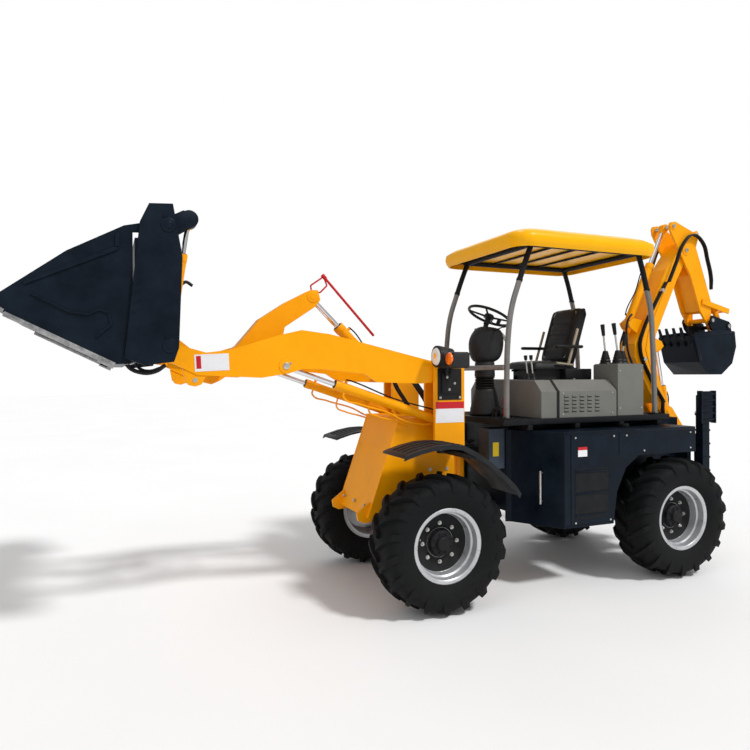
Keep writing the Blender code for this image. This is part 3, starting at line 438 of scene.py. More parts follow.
# base (outward, radius), top (outward, radius), lead along the tread, half width
LUG = [(0.000, 0.488, 0.000, 0.527, 0.170, 0.019), (0.045, 0.488, 0.045, 0.530, 0.115, 0.020),
       (0.100, 0.485, 0.102, 0.530, 0.045, 0.022), (0.148, 0.474, 0.156, 0.527, -0.020, 0.025),
       (0.176, 0.452, 0.190, 0.497, -0.065, 0.028), (0.187, 0.425, 0.2045, 0.445, -0.085, 0.030),
       (0.190, 0.400, 0.2030, 0.408, -0.092, 0.026)]
RIM = [(0.2605, -0.150), (0.2605, 0.150), (0.272, 0.153), (0.282, 0.157), (0.2845, 0.161),
       (0.280, 0.1632), (0.262, 0.160), (0.253, 0.153), (0.249, 0.130), (0.246, 0.098),
       (0.233, 0.090), (0.229, 0.060), (0.224, 0.034), (0.212, 0.026), (0.170, 0.022),
       (0.128, 0.020), (0.120, 0.026), (0.112, 0.026), (0.110, 0.004), (0.215, 0.004),
       (0.234, -0.030), (0.240, -0.150), (0.248, -0.160), (0.270, -0.163), (0.284, -0.160)]
RIM_DISC = [(0.1135, 0.0275), (0.1205, 0.0275), (0.1285, 0.0215), (0.170, 0.0235), (0.2105, 0.0275),
            (0.2215, 0.0345),
            (0.2240, 0.0310), (0.2105, 0.0235), (0.170, 0.0200), (0.1285, 0.0180), (0.1205, 0.0240),
            (0.1135, 0.0240)]


class LOADER_OT_wheels(Builder, bpy.types.Operator):
    """Models the lugged tyres, the dished rims and the hubs"""
    bl_idname = "loader.wheels"
    bl_label = "Wheels"

    def build(self, sizes, colours):
        for axle, x in (("front", 0.0), ("rear", WHEELBASE)):
            for side, out in SIDES:
                self.wheel(f"{axle}_{side}", (x, out * HALF_TRACK, AXLE_Z), out, sizes)

    def wheel(self, name, centre, out, sizes):
        """Draws one wheel: its lugged tyre, rim, hub and nuts."""
        body = f"wheel_{name}"
        bm = bmesh.new()
        lathe(bm, CARCASS, centre, out, 72)
        pitch = 2 * math.pi / sizes.lug_count
        for half, (sign, start) in enumerate(((1, 0.0), (-1, pitch / 2))):
            rings = []
            for base_out, base_r, top_out, top_r, lead, width in LUG:
                top_r = min(top_r, base_r + sizes.lug_height + 0.006)
                ring = []
                for across, radius, sideways in ((-1.25, base_r, base_out), (1.25, base_r, base_out),
                                                 (0.85, top_r, top_out), (-0.85, top_r, top_out)):
                    turn = math.pi / 2 + start + lead + across * width / radius
                    ring.append((centre[0] + radius * math.cos(turn),
                                 centre[1] + out * sign * sideways, centre[2] + radius * math.sin(turn)))
                rings.append(ring)
            before = set(bm.verts)
            loft(bm, rings)
            lug = [v for v in bm.verts if v not in before]
            turned_copies(bm, lug, centre, sizes.lug_count)
        piece(f"lugged_tyre_{name}", bm, "rubber", body, (f"tyre_{name}",), 40)

        bm = bmesh.new()
        lathe(bm, RIM, centre, out, 64)
        piece(f"dished_rim_{name}", bm, "rim_silver", body, (f"rim_{name}",), 30)

        bm = bmesh.new()
        lathe(bm, RIM_DISC, centre, out, 64)
        piece(f"rim_disc_{name}", bm, "deck_black", body)

        bm = bmesh.new()
        lathe(bm, [(0.0003, -0.13), (0.100, -0.13), (0.112, -0.02), (0.112, 0.022), (0.100, 0.030),
                   (0.096, 0.062), (0.088, 0.070), (0.058, 0.072), (0.052, 0.092), (0.044, 0.098),
                   (0.0003, 0.099)], centre, out, 40)
        for k in range(NUTS_A_WHEEL):
            turn = 2 * math.pi * (k + 0.5) / NUTS_A_WHEEL
            at = (centre[0] + HUB_BOLT_CIRCLE * math.cos(turn), centre[1] + out * 0.071,
                  centre[2] + HUB_BOLT_CIRCLE * math.sin(turn))
            nut(bm, at, (0, out, 0), 0.012, 0.006)
        piece(f"hub_{name}", bm, "deck_black", body)

        bm = bmesh.new()
        for k in range(NUTS_A_WHEEL):
            turn = 2 * math.pi * k / NUTS_A_WHEEL
            at = (centre[0] + NUT_CIRCLE * math.cos(turn), centre[1] + out * 0.022,
                  centre[2] + NUT_CIRCLE * math.sin(turn))
            nut(bm, at, (0, out, 0), 0.020, 0.014)
        stem = Vector((centre[0] - 0.205, centre[1] + out * 0.03, centre[2] + 0.05))
        rod(bm, stem, stem + Vector((0.012, out * 0.05, -0.004)), 0.005, 10)
        piece(f"wheel_nuts_{name}", bm, "zinc", body)


# ---- hydraulic cylinders -----------------------------------------------------------------------------
class LOADER_OT_cylinders(Builder, bpy.types.Operator):
    """Models the hydraulic cylinders with glands, ports, chrome rods and eyes"""
    bl_idname = "loader.cylinders"
    bl_label = "Hydraulic Cylinders"

    def build(self, sizes, colours):
        for name, (base, eye, y, gland, length, wide, thin, reach) in CYLINDERS.items():
            a, b = Vector((base[0], y, base[1])), Vector((eye[0], y, eye[1]))
            along = (b - a).normalized()
            up = Vector((-along.z, 0, along.x))
            up = up if up.z > 0 else -up
            half = wide * 0.8
            bm = bmesh.new()
            rod(bm, a + along * 0.025, a + along * (gland - 0.05), wide, 28)
            rod(bm, a + along * (gland - 0.055), a + along * gland, wide * 1.07, 28, bevel=0.003)
            rod(bm, a + along * 0.02, a + along * 0.05, wide * 1.04, 28, bevel=0.003)
            for shift in (0.075, gland - 0.085):
                foot = a + along * shift + up * wide * 0.8
                rod(bm, foot, foot + up * 0.026, wide * 0.30, 14)
            rod(bm, a + Vector((0, -half, 0)), a + Vector((0, half, 0)), EYE_RADIUS, 28, bevel=0.002)
            piece(f"{name}_tube", bm, "yellow_paint", f"{name}_barrel", (f"{name}_barrel",), 35)
            bm = bmesh.new()
            rod(bm, a + along * (gland - 0.012), a + along * (gland + 0.004), wide * 0.86, 24)
            for shift in (0.075, gland - 0.085):
                foot = a + along * shift + up * (wide * 0.8 + 0.024)
                rod(bm, foot, foot + up * 0.012, wide * 0.24, 6)
            piece(f"{name}_fittings", bm, "black_plastic", f"{name}_barrel")
            bm = bmesh.new()
            tail = (b - a).length - length
            rod(bm, a + along * tail, b - along * 0.03, thin, 28)
            piece(f"{name}_chrome", bm, "chrome", f"{name}_rod", (f"{name}_rod",), 35)
            bm = bmesh.new()
            rod(bm, b + Vector((0, -half, 0)), b + Vector((0, half, 0)), EYE_RADIUS, 28, bevel=0.003)
            rod(bm, b - along * 0.062, b - along * 0.03, thin * 1.25, 24, thin * 1.5)
            piece(f"{name}_rod_eye", bm, "yellow_paint", f"{name}_rod")
            bm = bmesh.new()
            rod(bm, b + Vector((0, -reach, 0)), b + Vector((0, reach, 0)), PIN_RADIUS, 24)
            piece(f"{name}_eye_pin", bm, "zinc", f"{name}_rod")
            run = [a + along * 0.075 + up * (wide * 0.8 + 0.034), a + along * 0.13 + up * (wide + 0.034),
                   a + along * (gland * 0.5) + up * (wide + 0.012),
                   a + along * (gland - 0.14) + up * (wide + 0.030),
                   a + along * (gland - 0.085) + up * (wide * 0.8 + 0.034)]
            pipes(f"{name}_feed_pipe", [[tuple(p) for p in run]], 0.006, "deck_black", f"{name}_barrel")


# ---- loader arm and bucket ---------------------------------------------------------------------------
class LOADER_OT_loader_details(Builder, bpy.types.Operator):
    """Adds ribs, cutting strips, pin bosses, blank plates, hoses and the level bar to the loader"""
    bl_idname = "loader.loader_details"
    bl_label = "Loader Details"

    def build(self, sizes, colours):
        bm = bmesh.new()
        for _, side in SIDES:
            face = side * 0.913
            rib = side * 0.925
            plate(bm, [(-2.275, 2.690), (-2.275, 2.598), (-2.302, 2.590), (-2.302, 2.680)], face, rib, 0.003)
            plate(bm, [(-2.275, 2.612), (-2.283, 2.582), (-2.790, 2.345), (-2.802, 2.365)], face, rib, 0.003)
            plate(bm, [(-2.760, 2.300), (-2.764, 2.292), (-2.560, 2.192), (-2.552, 2.200)], face, rib, 0.002)
            plate(bm, [(-2.560, 2.200), (-2.562, 2.190), (-2.455, 2.178), (-2.450, 2.188)], face, rib, 0.002)
            plate(bm, [(-2.455, 2.188), (-2.452, 2.178), (-2.392, 2.208), (-2.398, 2.218)], face, rib, 0.002)
            plate(bm, [(-2.399, 2.218), (-2.391, 2.208), (-2.335, 2.190), (-2.335, 2.202)], face, rib, 0.002)
            plate(bm, [(-2.345, 2.202), (-2.333, 2.196), (-2.318, 2.125), (-2.330, 2.120)], face, rib, 0.002)
            plate(bm, [(-2.330, 2.130), (-2.320, 2.120), (-2.405, 2.045), (-2.412, 2.055)], face, rib, 0.002)
        piece("clam_side_ribs", bm, "navy_paint", "clam")

        bm = bmesh.new()
        along = Vector((-0.69, 0, 0.345)).normalized()
        down = Vector((along.z, 0, -along.x))
        down = -down if down.z > 0 else down
        for _, side in SIDES:
            for start, length, drop, thick in ((0.03, 0.63, 0.030, 0.0), (0.0, 0.10, 0.040, 0.006)):
                a = Vector((-2.30, 0, 1.892)) + along * start
                b = a + along * length
                outline = [(a.x, a.z), (b.x, b.z), (b.x + down.x * drop, b.z + down.z * drop),
                           (a.x + down.x * drop, a.z + down.z * drop)]
                plate(bm, outline, side * 0.885, side * (0.922 + thick), 0.003)
        piece("clam_skid_strips", bm, "worn_steel", "clam")

        bm = bmesh.new()
        edge = [(-2.985, 2.232), (-2.90, 2.185), (-2.893, 2.199), (-2.965, 2.244)]
        plate(bm, edge, -0.92, 0.92, 0.002)
        piece("clam_cutting_edge", bm, "worn_steel", "clam")
        bm = bmesh.new()
        for k in range(9):
            y = -0.80 + 0.2 * k
            foot = Vector((-2.86, y, 2.176))
            nut(bm, foot, down, 0.016, 0.007)
        piece("clam_edge_bolts", bm, "zinc", "clam")

        bm = bmesh.new()
        for _, side in SIDES:
            for x, z in (CYLINDERS["clam_left"][0], (-1.993, 2.752)):
                rod(bm, (x, side * 0.949, z), (x, side * 0.955, z), 0.046, 28, bevel=0.002)
                rod(bm, (x, side * 0.953, z), (x, side * 0.9585, z), 0.024, 24, bevel=0.002)
                rod(bm, (x - 0.018, side * 0.949, z + 0.058), (x - 0.018, side * 0.958, z + 0.058), 0.014, 6)
            for k in range(4):
                z = 2.20 + 0.055 * k
                plate(bm, [(-2.205, z), (-2.203, z - 0.006), (-2.155, z + 0.020), (-2.157, z + 0.026)],
                      side * 0.949, side * 0.953)
        piece("bucket_pin_bosses", bm, "navy_paint", "bucket")
        bm = bmesh.new()
        for _, side in SIDES:
            rod(bm, (-1.86, side * 0.828, 2.81), (-1.86, side * 0.913, 2.81), 0.056, 32, bevel=0.004)
            lever = [(-2.00, 2.705), (-1.93, 2.700), (-1.83, 2.765), (-1.83, 2.855), (-1.90, 2.860),
                     (-2.01, 2.800)]
            plate(bm, lever, side * 0.906, side * 0.914, 0.004)
        rod(bm, (-1.995, -0.865, 2.752), (-1.995, 0.865, 2.752), 0.058, 36)
        piece("clam_lever_bosses", bm, "navy_paint", "clam")

        bm = bmesh.new()
        for k in range(3):
            y = -0.62 + 0.62 * k
            plate(bm, [(-2.160, 1.93), (-2.125, 1.95), (-2.125, 2.60), (-2.160, 2.64)], y - 0.008,
                  y + 0.008, 0.002)
        for z in (1.96, 2.62):
            block(bm, -2.162, -2.12, -0.90, -0.48, z, z + 0.045, bevel=0.003)
            block(bm, -2.162, -2.12, 0.48, 0.90, z, z + 0.045, bevel=0.003)
        piece("bucket_back_ribs", bm, "navy_paint", "bucket")

        hose = sizes.hose_radius
        routes = []
        for _, side in SIDES:
            y = side * 0.80
            routes.append([(-1.99, y, 2.07), (-1.95, y, 2.20), (-1.93, y, 2.36), (-1.97, y, 2.50)])
            routes.append([(-1.99, y + side * 0.01, 2.04), (-1.93, y, 2.12), (-1.92, y, 2.30),
                           (-1.88, y, 2.42),
                           (-1.83, y, 2.40)])
        routes.append([(-2.17, -0.50, 1.90), (-2.14, -0.50, 1.86), (-2.08, -0.50, 1.845),
                       (-2.01, -0.50, 1.865)])
        pipes("bucket_hoses", routes, hose, "hose_rubber", "bucket")
        pipes("bucket_heel_hose", [[(-2.24, y, 1.95), (-2.22, y, 1.88), (-2.14, y, 1.835), (-2.05, y, 1.84),
                                    (-1.98, y, 1.885)] for y in (-0.56, -0.53)], hose * 1.3, "hose_rubber",
                                    "bucket")

        bm = bmesh.new()
        for _, side in SIDES:
            for point, radius in (((-1.12, 1.88), 0.055), (BUCKET_PIN, 0.060), (ARM_PIVOT, 0.065)):
                x, z = point
                rod(bm, (x, side * 0.4825, z), (x, side * 0.4885, z), radius, 32, bevel=0.002)
            ear = [(-1.86, 1.86), (-1.845, 1.775), (-1.82, 1.745), (-1.775, 1.735), (-1.73, 1.75),
                   (-1.705, 1.80),
                   (-1.70, 1.86)]
            plate(bm, ear, side * 0.455, side * 0.476, 0.003)
        piece("arm_bosses", bm, "yellow_paint", "loader_arm")
        bm = bmesh.new()
        for _, side in SIDES:
            for x, z in ((-1.12, 1.88), BUCKET_PIN):
                rod(bm, (x, side * 0.486, z), (x, side * 0.496, z), 0.026, 24, bevel=0.003)
                rod(bm, (x + 0.034, side * 0.487, z + 0.022), (x + 0.034, side * 0.495, z + 0.022), 0.008, 6)
            rod(bm, (-1.775, side * 0.475, 1.78), (-1.775, side * 0.480, 1.78), 0.016, 20)
        piece("arm_pins", bm, "zinc", "loader_arm")

        bm = bmesh.new()
        slant = tilt_about_y(-0.05)
        block(bm, -1.78, -1.54, -0.4850, -0.4825, 1.845, 1.965, slant)
        piece("arm_plate_white", bm, "label_white", "loader_arm")
        bm = bmesh.new()
        block(bm, -1.768, -1.735, -0.4860, -0.4845, 1.860, 1.950, slant)
        piece("arm_plate_red", bm, "signal_red", "loader_arm")

        bm = bmesh.new()
        start, end = Vector((-0.668, 0, 2.635)), Vector((-0.217, 0, 2.149))
        rod(bm, start, end, 0.011, 14, bevel=0.002)
        rod(bm, start + (start - end).normalized() * 0.02, start + (end - start) * 0.04, 0.017, 14,
            bevel=0.002)
        corners = [Vector((-0.775, 0, 2.505)), Vector((-0.782, 0, 2.555)), start, Vector((-0.640, 0, 2.560)),
                   Vector((-0.700, 0, 2.500)), Vector((-0.775, 0, 2.505))]
        for a, b in zip(corners, corners[1:]):
            rod(bm, a, b, 0.007, 10)
        piece("bucket_level_bar", bm, "signal_red", "tilt_rod")

        bm = bmesh.new()
        for y in (-0.0745, 0.0705):
            rod(bm, (-0.784, y, 2.455), (-0.784, y + 0.004, 2.455), 0.050, 30, bevel=0.0015)
            rod(bm, (-1.119, y, 1.92), (-1.119, y + 0.004, 1.92), 0.085, 36, bevel=0.0015)
            rod(bm, (-1.608, y, 1.83), (-1.608, y + 0.004, 1.83), 0.055, 30, bevel=0.0015)
            rod(bm, (-0.784, y - 0.003, 2.455), (-0.784, y + 0.007, 2.455), 0.022, 24)
        piece("rocker_bosses", bm, "yellow_paint", "rocker")

        routes = []
        for y in (-0.16, -0.13, 0.13, 0.16):
            routes.append([(0.02, y, 1.875), (-0.20, y, 1.93), (-0.55, y, 2.00), (-0.78, y, 2.045)])
        for y in (-0.41, 0.41):
            routes.append([(-0.80, y, 2.035), (-1.10, y, 2.00), (-1.40, y, 1.945), (-1.70, y, 1.93),
                           (-1.86, y, 1.95)])
        pipes("arm_hoses", routes, hose, "hose_rubber", "loader_arm")
        bm = bmesh.new()
        for x, z in ((-0.30, 1.955), (-0.62, 2.020)):
            for side in (-1, 1):
                block(bm, x - 0.02, x + 0.02, side * 0.115, side * 0.175, z - 0.022, z + 0.006, bevel=0.003)
        piece("arm_hose_clamps", bm, "zinc", "loader_arm")

        for side_name, side in SIDES:
            y = side * 0.40
            a, b = Vector((0.28, 0, 1.40)), Vector((-1.12, 0, 1.88))
            along2 = (b - a).normalized()
            low = Vector((along2.z, 0, -along2.x))
            low = low if low.z < 0 else -low
            run = []
            for shift, drop in ((0.96, 0.03), (0.95, 0.075), (0.80, 0.085), (0.55, 0.075), (0.40, 0.095),
                                (0.25, 0.080), (0.14, 0.045)):
                at = a + along2 * shift + low * drop
                run.append((at.x, y + side * 0.012, at.z))
            loop = []
            for shift, drop in ((0.72, 0.035), (0.70, 0.115), (0.62, 0.128), (0.46, 0.120), (0.34, 0.118)):
                at = a + along2 * shift + low * drop
                loop.append((at.x, y - side * 0.012, at.z))
            pipes(f"lift_{side_name}_lines", [run, loop], 0.0075, "yellow_paint", f"lift_{side_name}_barrel")


# ---- front frame -------------------------------------------------------------------------------------
class LOADER_OT_front_details(Builder, bpy.types.Operator):
    """Models the headlights, fenders, tower brackets and plates of the front frame"""
    bl_idname = "loader.front_details"
    bl_label = "Front Frame Details"

    def build(self, sizes, colours):
        for name, side in SIDES:
            y = side * 0.615
            bm = bmesh.new()
            rod(bm, (0.078, y, 1.955), (0.20, y, 1.950), 0.0875, 40, 0.070, bevel=0.006)
            block(bm, 0.115, 0.268, side * 0.5215, side * 0.798, 1.862, 1.988, bevel=0.018)
            rod(bm, (0.19, side * 0.56, 1.80), (0.19, side * 0.56, 1.87), 0.012, 16)
            piece(f"headlight_housing_{name}", bm, "dark_plastic", "front_frame", (f"headlight_{name}",),
                  35)
            bm = bmesh.new()
            rod(bm, (0.062, y, 1.955), (0.085, y, 1.955), 0.0875, 40, 0.0875, bevel=0.004)
            piece(f"headlight_bezel_{name}", bm, "black_plastic", "front_frame")
            bm = bmesh.new()
            rod(bm, (0.051, y, 1.955), (0.066, y, 1.955), 0.062, 40, 0.074, bevel=0.004)
            piece(f"headlight_lens_{name}", bm, "lens_white", "front_frame")
            bm = bmesh.new()
            rod(bm, (0.0505, y, 1.962), (0.053, y, 1.962), 0.022, 24)
            piece(f"headlight_bulb_{name}", bm, "chrome", "front_frame")
            bm = bmesh.new()
            rod(bm, (0.098, side * 0.742, 1.935), (0.120, side * 0.742, 1.935), 0.046, 32, 0.050, bevel=0.006)
            piece(f"indicator_lens_{name}", bm, "lens_amber", "front_frame")

            bm = bmesh.new()
            rim = [(-0.36, 1.221), (-0.32, 1.235), (-0.22, 1.264), (-0.10, 1.286), (0.02, 1.290),
                   (0.12, 1.279),
                   (0.24, 1.218), (0.36, 1.141), (0.48, 1.040), (0.585, 0.945), (0.632, 0.880)]
            under = [(x - 0.009, z - 0.017) for x, z in reversed(rim)]
            plate(bm, rim + under, side * 0.531, side * 0.949, 0.003)
            lip = [(x, z + 0.002) for x, z in rim] + [(x - 0.016, z - 0.034) for x, z in reversed(rim)]
            plate(bm, lip, side * 0.935, side * 0.9495, 0.003)
            for shift in (0.62, 0.70, 0.78, 0.86):
                ridge = [(x, z + 0.006) for x, z in rim[1:-1]] + [(x, z) for x, z in reversed(rim[1:-1])]
                plate(bm, ridge, side * shift, side * (shift + 0.014), 0.002)
            block(bm, 0.20, 0.27, side * 0.352, side * 0.90, 1.166, 1.204, bevel=0.004)
            piece(f"moulded_fender_{name}", bm, "fender_plastic", "front_frame", (f"fender_{name}",), 40)

            bm = bmesh.new()
            block(bm, 0.125, 0.345, side * 0.5205, side * 0.526, 1.605, 1.862, bevel=0.002)
            block(bm, 0.155, 0.325, side * 0.526, side * 0.545, 1.66, 1.83, bevel=0.006)
            block(bm, 0.115, 0.355, side * 0.5205, side * 0.532, 1.175, 1.235, bevel=0.004)
            piece(f"tower_bracket_{name}", bm, "black_plastic", "front_frame")
            bm = bmesh.new()
            for x, z in ((0.15, 1.205), (0.32, 1.205), (0.20, 1.79), (0.27, 1.74), (0.22, 1.69),
                         (0.145, 1.625),
                         (0.325, 1.625)):
                nut(bm, (x, side * 0.531 if z < 1.65 else side * 0.545, z), (0, side, 0), 0.013, 0.007)
            piece(f"tower_bolts_{name}", bm, "zinc", "front_frame")
            bm = bmesh.new()
            block(bm, 0.108, 0.368, side * 0.5195, side * 0.5215, 1.42, 1.535)
            piece(f"tower_plate_white_{name}", bm, "label_white", "front_frame")
            bm = bmesh.new()
            block(bm, 0.108, 0.368, side * 0.5195, side * 0.5225, 1.535, 1.59)
            piece(f"tower_plate_red_{name}", bm, "signal_red", "front_frame")

        bm = bmesh.new()
        for _, side in SIDES:
            for x in (0.14, 0.30):
                rod(bm, (x, side * 0.349, 1.02), (x, side * 0.357, 1.02), 0.016, 6)
                rod(bm, (x, side * 0.349, 0.80), (x, side * 0.357, 0.80), 0.016, 6)
        for y in (-0.24, 0.0, 0.24):
            at = Vector((-0.395, y, 0.74))
            rod(bm, at, at + Vector((-0.020, 0, 0.007)), 0.014, 6)
        piece("front_frame_bolts", bm, "zinc", "front_frame")
        bm = bmesh.new()
        for _, side in SIDES:
            ear = [(-0.50, 0.70), (-0.49, 0.64), (-0.44, 0.615), (-0.36, 0.62), (-0.34, 0.72), (-0.39, 0.78)]
            plate(bm, ear, side * 0.29, side * 0.315, 0.004)
            plate(bm, [(-0.40, 0.72), (-0.385, 0.715), (-0.135, 1.43), (-0.15, 1.435)], side * 0.325,
                  side * 0.351, 0.003)
            block(bm, -0.15, 0.36, side * 0.325, side * 0.352, 1.44, 1.456, bevel=0.003)
        block(bm, -0.13, 0.09, -0.30, 0.30, 1.435, 1.452, bevel=0.004)
        piece("front_frame_flanges", bm, "yellow_paint", "front_frame")
        routes = []
        for y in (-0.26, -0.22, -0.18, 0.20, 0.25):
            routes.append([(0.36, y, 1.22), (0.30, y, 1.36), (0.20, y, 1.55), (0.10, y, 1.70),
                           (0.04, y * 0.8, 1.80)])
        for y in (-0.27, -0.19, 0.19, 0.27):
            routes.append([(0.37, y, 1.16), (0.46, y * 0.9, 1.20), (0.58, y * 0.8, 1.20),
                           (0.66, y * 0.7, 1.18)])
        pipes("tower_hoses", routes, sizes.hose_radius, "hose_rubber", "front_frame")


# ---- cab ---------------------------------------------------------------------------------------------
def lathe_up(bm, profile, x, y, steps=36, lean=0.0):
    """Turns a profile of (radius, height) about the upright through x, y, closed at its poles."""
    ring = [bm.verts.new((x + r, y, z)) for r, z in profile]
    edges = [bm.edges.new(pair) for pair in zip(ring, ring[1:])]
    before = set(bm.verts) - set(ring)
    bmesh.ops.spin(bm, geom=ring + edges, cent=(x, y, 0), axis=(0, 0, 1), dvec=(0, 0, 0),
                   angle=2 * math.pi, steps=steps, use_merge=True, use_duplicate=False)
    if lean:
        foot = Vector((x, y, profile[0][1]))
        made = [v for v in bm.verts if v not in before]
        bmesh.ops.rotate(bm, cent=foot, matrix=tilt_about_y(lean), verts=made)


def bellows(low, high, wide, narrow, folds):
    """The ribbed profile of a rubber boot."""
    profile = [(0.0003, low), (wide, low)]
    for k in range(folds):
        t = (k + 0.5) / folds
        r = wide + (narrow - wide) * t
        z = low + (high - low) * t
        step = (high - low) / folds / 2
        profile += [(r, z - step * 0.5), (r * 0.84, z + step * 0.5)]
    return profile + [(narrow * 0.8, high), (0.0003, high)]


def rounded(points, finish_name, name, body, replaces, levels=2):
    """A soft moulded shape: a lofted cage under a subdivision surface."""
    bm = bmesh.new()
    loft(bm, points)
    made = piece(name, bm, finish_name, body, replaces, 0)
    cage = made.modifiers.new("smooth", "SUBSURF")
    cage.levels = cage.render_levels = levels
    return made


class LOADER_OT_cab(Builder, bpy.types.Operator):
    """Models the dash, steering wheel, levers, canopy, engine cover and deck"""
    bl_idname = "loader.cab"
    bl_label = "Operator Station"

    def build(self, sizes, colours):
        self.dash()
        self.steering()
        self.levers()
        self.engine_cover()
        self.canopy()
        self.deck()

    def dash(self):
        """Draws the dash column, its bellows and its cowl."""
        def band(x0, x1, half, z, tip=0.0):
            return [(x0, -half, z), (x1, -half, z + tip), (x1, half, z + tip), (x0, half, z)]
        rounded([band(0.735, 1.065, 0.142, 1.432), band(0.74, 1.06, 0.142, 1.44),
                 band(0.765, 1.045, 0.128, 1.56),
                 band(0.80, 1.01, 0.112, 1.66), band(0.81, 0.995, 0.105, 1.70)], "dark_plastic",
                 "dash_casing",
                "rear_frame", ("dash_column",))
        bm = bmesh.new()
        lathe_up(bm, bellows(1.685, 1.80, 0.100, 0.094, 5), 0.90, 0)
        piece("dash_bellows", bm, "black_plastic", "rear_frame")
        bm = bmesh.new()
        lathe_up(bm, [(0.0003, 1.79), (0.092, 1.79), (0.094, 1.80), (0.090, 1.92), (0.084, 1.93),
                      (0.0003, 1.93)], 0.90, 0)
        for z in (1.83, 1.90):
            rod(bm, (0.83, -0.068, z), (0.82, -0.078, z), 0.007, 10)
        piece("dash_tube", bm, "dark_plastic", "rear_frame")
        rounded([band(0.80, 1.02, 0.105, 1.905, 0.01), band(0.745, 1.085, 0.130, 1.965, 0.03),
                 band(0.725, 1.105, 0.136, 2.06, 0.04), band(0.735, 1.10, 0.134, 2.15, 0.03),
                 band(0.80, 1.07, 0.115, 2.235, -0.01), band(0.86, 1.03, 0.08, 2.268, -0.03)], "dark_plastic",
                "dash_cowl", "rear_frame", ())
        bm = bmesh.new()
        rod(bm, (1.062, 0, 2.165), (1.082, 0, 2.185), 0.050, 32, bevel=0.003)
        for y in (-0.085, 0.085):
            rod(bm, (1.075, y, 2.12), (1.092, y, 2.132), 0.022, 24, bevel=0.002)
        piece("dash_dials", bm, "dial_face", "rear_frame")
        bm = bmesh.new()
        rod(bm, (0.90, 0, 2.20), (0.9145, 0, 2.272), 0.026, 24, 0.022)
        rod(bm, (0.93, -0.10, 2.21), (0.95, -0.24, 2.24), 0.006, 12)
        rod(bm, (0.95, -0.235, 2.24), (0.953, -0.275, 2.246), 0.012, 16, bevel=0.003)
        rod(bm, (0.93, 0.10, 2.21), (0.95, 0.22, 2.24), 0.006, 12)
        rod(bm, (0.95, 0.215, 2.24), (0.953, 0.25, 2.246), 0.012, 16, bevel=0.003)
        piece("dash_stalks", bm, "black_plastic", "rear_frame")
        bm = bmesh.new()
        for y in (-0.24, -0.19, 0.19):
            block(bm, 0.87, 0.95, y - 0.035, y + 0.035, 1.50, 1.512, tilt_about_y(-0.5), bevel=0.003)
            rod(bm, (0.86, y, 1.43), (0.885, y, 1.505), 0.009, 12)
        piece("pedals", bm, "black_plastic", "rear_frame")
        bm = bmesh.new()
        rod(bm, (0.985, -0.175, 1.43), (1.00, -0.19, 1.73), 0.010, 14)
        rod(bm, (0.999, -0.189, 1.73), (1.006, -0.193, 1.83), 0.017, 16, 0.014, bevel=0.004)
        piece("park_brake_lever", bm, "signal_red", "rear_frame")

    def steering(self):
        """Draws the steering wheel and its spokes."""
        lean = math.radians(25)
        axis = Vector((math.sin(lean), 0, math.cos(lean)))
        flat = Vector((axis.z, 0, -axis.x))
        centre = Vector((0.94, 0, 2.33))
        hub = centre + axis * 0.03
        bm = bmesh.new()
        start = hub + flat * 0.20
        place = Matrix.Translation(start) @ Matrix.Rotation(math.pi / 2, 4, "X")
        ring = bmesh.ops.create_circle(bm, cap_ends=False, segments=14, radius=0.0130, matrix=place)["verts"]
        edges = list({e for v in ring for e in v.link_edges})
        bmesh.ops.spin(bm, geom=ring + edges, cent=hub, axis=axis, dvec=(0, 0, 0), angle=2 * math.pi,
                       steps=56,
                       use_merge=True, use_duplicate=False)
        for k in range(4):
            turn = 2 * math.pi * (k + 0.5) / 4
            out = flat * math.cos(turn) + Vector((0, 1, 0)) * math.sin(turn)
            rod(bm, hub + out * 0.03 - axis * 0.012, hub + out * 0.195, 0.010, 14, 0.008)
        rod(bm, centre - axis * 0.06, hub - axis * 0.012, 0.026, 28)
        rod(bm, hub - axis * 0.03, hub + axis * 0.012, 0.050, 36, 0.042, bevel=0.006)
        rod(bm, hub + flat * 0.17 + Vector((0, 0.1, 0)) + axis * 0.006,
            hub + flat * 0.17 + Vector((0, 0.1, 0)) + axis * 0.06, 0.018, 20, 0.021, bevel=0.006)
        piece("steering_wheel_rim", bm, "black_plastic", "steering_wheel", ("steering_wheel",), 40)

    def levers(self):
        """Draws the backhoe levers with their boots."""
        bm = bmesh.new()
        sticks = bmesh.new()
        for x, y, tilt, height in ((2.02, -0.50, -0.14, 0.34), (2.02, -0.34, -0.10, 0.34),
                                   (2.15, -0.42, 0.16, 0.24)):
            boot = bellows(1.905, 2.03, 0.060, 0.024, 5)
            lathe_up(bm, boot, x, y, 28)
            top = Vector((x + math.sin(tilt) * height, y, 1.93 + height))
            rod(sticks, (x, y, 2.0), top, 0.0085, 14)
            grip = (top - Vector((x, y, 2.0))).normalized()
            rod(bm, top - grip * 0.10, top + grip * 0.01, 0.015, 20, 0.020, bevel=0.005)
        for y in (-0.30, -0.22):
            boot = bellows(1.765, 1.82, 0.035, 0.016, 3)
            lathe_up(bm, boot, 1.22, y, 24)
            rod(sticks, (1.22, y, 1.80), (1.20, y, 1.95), 0.007, 12)
            rod(bm, (1.20, y, 1.94), (1.197, y, 1.985), 0.014, 18, 0.017, bevel=0.005)
        piece("lever_boots", bm, "black_plastic", "rear_frame")
        piece("lever_shafts", sticks, "zinc", "rear_frame")

